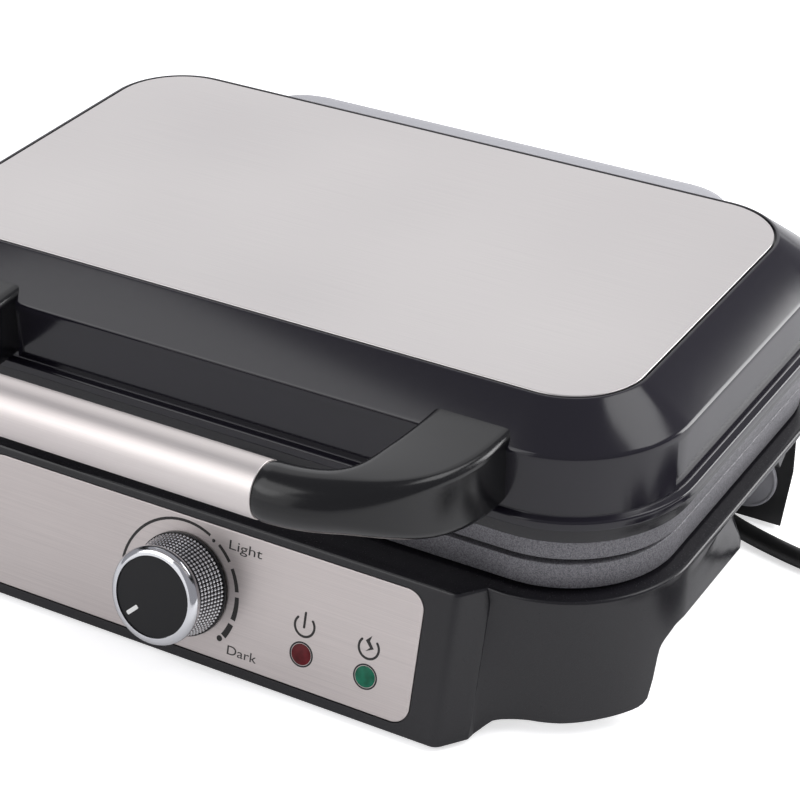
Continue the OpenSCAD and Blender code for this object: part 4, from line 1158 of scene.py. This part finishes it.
# %% Pointer
def pointer_mark(angle=223.5, near=7.5, far=12.7, width=1.5, proud=0.15):
    """A rounded bar along the radius at that angle, just proud of the knob's face."""
    section = rounded([(0, face_top - 0.03), (0, face_top + proud), (-0.3, face_top + proud)], [0.1], 3)
    grid, faces = solid(section, outline((far - near) / 2, width / 2, 0.35, 5))
    turn = math.radians(angle)
    x, y = grid[:, 0] + (near + far) / 2, grid[:, 1]
    place = np.stack([x * math.cos(turn) - y * math.sin(turn) + knob_x,
                      x * math.sin(turn) + y * math.cos(turn) + knob_s, grid[:, 2]], -1)
    return on_face(place), faces


make_piece("knob_white_pointer", [pointer_mark()], "knob", white_ink, 30, replaces=("knob_pointer",))

# %% [markdown]
# ## The handle
# A steel tube, brushed lengthwise, is held between two moulded ends that sweep back to the lid. An end is a
# section carried along a cubic curve. The section starts as the tube's circle and grows by a smooth step into a
# tall rounded box with a flat top, where it meets the lid.

# %% Section and path of a handle end
handle_y, handle_z, tube_r, tube_half = -147.0, 104.0, 9.7, 55.0
root_x, root_y, root_w, root_h, root_r, root_drop = 96.0, -89.5, 14.8, 12.6, 3.6, 4.6
end_curve = np.array([(tube_half, handle_y), (85.0, handle_y), (root_x, -129.0), (root_x, root_y)])


def box_section(half_w, half_h, r, n=10):
    """Rounded box as (columns, rows) of points, anticlockwise, for arrays of half sizes and corner radii."""
    angle = np.radians(np.concatenate([np.linspace(90 * q, 90 * (q + 1), n) for q in range(4)]))
    quarter = np.repeat(np.arange(4), n)
    sx, sy = np.where((quarter == 0) | (quarter == 3), 1, -1), np.where(quarter < 2, 1, -1)
    half_w, half_h, r = (np.asarray(v, float)[:, None] for v in (half_w, half_h, r))
    return np.stack([sx * (half_w - r) + r * np.cos(angle), sy * (half_h - r) + r * np.sin(angle)], -1)


def handle_sweep(rows=44, step_in=0.94, gap=0.12):
    """Cubic curve P(t) with its tangent; the section's sizes go from the tube's to the root's by a smooth step
    of t between 0.3 and 0.9, and its level drops over the same stretch. The first row is drawn in a little."""
    t = np.linspace(0, 1, rows)
    weights = np.stack([(1 - t) ** 3, 3 * (1 - t) ** 2 * t, 3 * (1 - t) * t ** 2, t ** 3], -1)
    slopes = np.stack([(1 - t) ** 2, 2 * (1 - t) * t, t ** 2], -1)
    place = weights @ end_curve
    run = slopes @ np.diff(end_curve, axis=0)
    run /= np.linalg.norm(run, axis=1, keepdims=True)
    m = smooth((t - 0.3) / 0.6)
    r0 = tube_r + gap
    half_w, half_h = r0 + (root_w - r0) * m, r0 + (root_h - r0) * m
    radius = np.minimum(r0 + (root_r - r0) * smooth((t - 0.22) / 0.5), np.minimum(half_w, half_h)) - 0.02
    section = box_section(half_w, half_h, radius) * np.where(t > 0, 1.0, step_in)[:, None, None]
    across = np.stack([run[:, 1], -run[:, 0]], -1)
    flat = place[:, None] + section[..., :1] * across[:, None]
    z = handle_z - root_drop * m[:, None, None] + section[..., 1:]
    return np.concatenate([flat, z], -1)


print("rows along a handle end:", len(handle_sweep()))


# %% Handle ends and tube
def along_x(part, start):
    """Lays a turned form down: its axis runs along x from the start point."""
    grid, faces = part
    return grid[:, [2, 0, 1]] + start, faces


def handle_end(side):
    """One end, mirrored for the left, with a plug that fills the tube's mouth."""
    plug_r = 8.2
    plug = turned([plug_r, plug_r], [side * (tube_half - 13), side * (tube_half + 2)], 40)
    return [grid_part(handle_sweep() * (side, 1, 1), caps=(True, True)), along_x(plug, (0, handle_y, handle_z))]


for side, name in ((1, "right"), (-1, "left")):
    make_piece("handle_arm_" + name, handle_end(side), "lid", handle_black, 38,
               replaces=("handle_end_" + name,))
tube_wall = [(tube_r - 0.2, -tube_half), (tube_r, -tube_half + 0.2), (tube_r, -20), (tube_r, 20),
             (tube_r, tube_half - 0.2), (tube_r - 0.2, tube_half), (8.5, tube_half), (8.5, -tube_half)]
tube = along_x(turned(*np.transpose(tube_wall), 96, wrap=True), (0, handle_y, handle_z))
make_piece("handle_steel_tube", [tube], "lid", tube_steel, 30, replaces=("handle_tube",))

# %% [markdown]
# ## The hinge housing
# Behind the lid sits a housing that carries the hinge barrel. Its light grey colour is a painted reflection,
# standing for the bright grazing reflection along a gloss black cover. It is a closed profile drawn in y and z and
# carried across the machine. Above the barrel its two ends are rounded off towards the back, as quarter circles
# seen from above, and sink a little, so they look moulded and not sawn.

# %% Hinge housing
hinge_y, hinge_z, hinge_half = 108.0, 60.0, 101.5
barrel_r, end_r, end_sink = 8, 21.5, 2.5


def hinge_profile(front, clear, back, top):
    """Closed profile of the housing in (y, z): the barrel's underside, the back, the top and the front."""
    barrel = np.radians(np.linspace(200, 340, 15))
    profile = [(front, top), (front, lip_z[1] + 1), (clear, lip_z[1] + 1), (clear, hinge_z + 6)]
    profile += [(hinge_y + barrel_r * math.cos(a), hinge_z + barrel_r * math.sin(a)) for a in barrel]
    profile += [(back, hinge_z + up) for up in (6, 14, 16, 22)] + [(back, top)]
    return rounded(profile + [profile[0]], [0.2, 0.2, 0.2] + [0] * 15 + [1, 0, 0, 0, 9], 8)[:-1]


def hump():
    """Profile points p carried along x. Over the last r mm the back edge follows a quarter circle,
    y = back - r + sqrt(r^2 - (|x| - half + r)^2), above the barrel only."""
    front, back = half_y + bevel_run, hinge_y + 10
    y, z = hinge_profile(front, half_y + 20.8, back, shoulder_z - 2.2).T[:, None]
    bend = hinge_half - end_r + end_r * np.sin(np.radians(np.linspace(0, 90, 13)))
    x = np.concatenate([-bend[::-1], np.linspace(-60, 60, 5), bend])[:, None]
    u = np.clip((np.abs(x) - hinge_half + end_r) / end_r, 0, 1)
    drawn_in = end_r * (1 - np.sqrt(np.clip(1 - u ** 2, 0, 1))) * 0.98
    sunk = end_sink * (1 - np.sqrt(np.clip(1 - u ** 4, 0, 1)))
    share = np.clip((y - front) / (back - front), 0, 1)
    above = smooth((z - hinge_z - 14) / 4)
    z = z - above * sunk * smooth((z - 90) / 10)
    return grid_part(np.stack(np.broadcast_arrays(x, y - above * share * drawn_in, z), -1), caps=(True, True))


# The housing's light grey colour is painted reflection.
make_piece("hinge_housing", [hump()], "lid", grey_plastic_and_painted_reflection, 35, replaces=("lid_hinge_block",))

# %% [markdown]
# ## Rear feet, boot, tie and plug
# The rear legs carry light grey discs with a turned edge. The lead's boot tapers like a real strain relief,
# with soft ribs. The coil is held by a white tie, and the plug has two round pins.

# %% Discs on the rear legs
disc_x, disc_y, disc_z = 131.5, 60.0, 20.2
disc_r, hub_r, disc_thick = 13.1, 7.9, 1.6
cap = rounded([(0, -2.4), (hub_r, -2.4), (hub_r, 0.02), (disc_r, 0.02), (disc_r, disc_thick), (12.2, disc_thick),
               (11.9, 1.2), (0, 1.2)], [0, 0, 0, 0.4, 0.3, 0.2], 4)


def disc_facing_front(x):
    """A disc whose axis points forwards: its section's height runs towards -y."""
    grid, faces = turned(*cap.T, 72)
    return grid[:, [0, 2, 1]] * (1, -1, 1) + (x, disc_y, disc_z), faces


make_piece("leg_discs", [disc_facing_front(x) for x in (disc_x, -disc_x)], "base", grey_plastic_and_painted_reflection, 30,
           replaces=("leg_caps",))


# %% Boot of the lead
def boot(length=22, collar_r=6.4, root=5.5, taper=1.3, rib=0.35, pitch=2.6):
    """A taper turned about the lead: behind a short collar the radius falls evenly from the root's by the taper,
    with a groove as deep as a rib every pitch."""
    s = np.linspace(0, length, 67)
    r = np.where(s < 2, collar_r, root - taper * (s - 2) / (length - 2))
    r = r - rib * (np.sin(s / pitch * 2 * math.pi) > 0.2) * (s > 4) * (s < length - 2)
    return turned([0, *r, 0], [0, *s, length], 40)


lead_boot = make_piece("lead_boot", [along_x(boot(), (88, 54, 10.2))], "base", rubber_black, 40,
                       replaces=("cord_gland",))

# %% Plug and tie
plug_x, plug_y, plug_z, plug_turn = 271.0, -50.0, 7.3, math.radians(14)
plug_w, plug_h = 10, 7.1
pin_r, pin_x, pin_start, pin_end = 2.4, 9.5, 39.5, 59
plug_swell = [(0, 0.42), (0.6, 0.5), (2, 0.56), (5, 0.66), (9, 0.8), (14, 0.93), (20, 1.0), (27, 1.0), (33, 0.97),
              (37, 0.95), (39.2, 0.94), (40, 0.9)]


def along_plug(points):
    """Turns points of (across, along, up) into the plug's place: its length runs towards -y, turned 14 degrees."""
    across, along, up = np.asarray(points, float).reshape(-1, 3).T
    c, s = math.cos(plug_turn), math.sin(plug_turn)
    return np.stack([plug_x + across * c - along * s, plug_y - across * s - along * c, plug_z + up], -1)


def plug_body():
    """A stadium section carried along the plug, whose size swells from the lead to the face and ends rounded."""
    s, size = np.array(plug_swell).T[:, :, None]
    a = np.arange(64) / 64 * 2 * math.pi
    x = plug_w * np.sign(np.cos(a)) * np.abs(np.cos(a)) ** 0.6 + plug_h * np.cos(a)
    grid = np.stack(np.broadcast_arrays(x * size, s, plug_h * np.sin(a) * size), -1)
    return along_plug(grid), grid_faces(*grid.shape[:2], caps=(True, True))


def plug_pin(across):
    """A round pin with a domed end, turned about its own axis."""
    section = rounded([(0, pin_start), (pin_r, pin_start), (pin_r, pin_end), (0, pin_end)], [0, pin_r / 2], 4)
    grid, faces = turned(*section.T, 24)
    return along_plug(grid[:, [0, 2, 1]] + (across, 0, 0)), faces


plug = make_piece("mains_plug", [plug_body()], "base", rubber_black, 40, replaces=("plug_body",))
pins = make_piece("mains_pins", [plug_pin(-pin_x), plug_pin(pin_x)], "base", bright_nickel, 40,
                  replaces=("plug_pins",))


def tie(half_w=4, middle_z=8.15):
    """A flat strip bent round the coil's section: a rounded frame carried along x."""
    inner, outer = outline(7.1, 7.4, 2, 6)[0], outline(7.9, 8.1, 2.6, 6)[0]
    ring = [np.stack([np.full(len(p), x), p[:, 0], p[:, 1] + middle_z], -1)
            for x, p in ((-half_w, inner), (-half_w, outer), (half_w, outer), (half_w, inner))]
    return grid_part(np.stack(ring) + (coil_x, coil_y - coil_r + cord_d / 2, 0), wrap_rows=True)


make_piece("coil_tie", [tie()], "base", white_tie, 40, replaces=("cord_tie",))

# %% [markdown]
# ## The rest of the construction
# Screws, pins, heating loops, reflectors and the plain undersides keep their own shapes and get finishes that
# suit them. A table pairs each finish with the nodes that carry it.

# %% Finishes for the pieces that stay
kept = {
    zinc: ["lower_plate_screws", "ear_screws", "hinge_pins", "base_screws", "lid_frame_screws",
           "upper_plate_screws", "hinge_block_screws", "handle_screws", "thermostat_shaft"],
    heater: ["lower_element", "upper_element"],
    bright_sheet: ["lower_reflector", "upper_reflector"],
    matt_black: ["bottom_pan", "terminal_box", "nose_cover", "rear_leg_left", "rear_leg_right", "lamp_holder"],
    satin_black: ["hinge_ear_left", "hinge_ear_right"],
    foot_rubber: ["rubber_feet"],
    cream_ceramic: ["terminal_block", "thermal_fuse", "thermostat_body"],
    turned_brass: ["thermostat_bushing"],
    lamp_glass: ["neon_lamps"],
}
for material, names in kept.items():
    for name in names:
        slots = bpy.data.objects[name].data.materials
        if not slots:
            slots.append(material)
        for i in range(len(slots)):
            slots[i] = material
print("finished construction nodes:", sum(map(len, kept.values())))
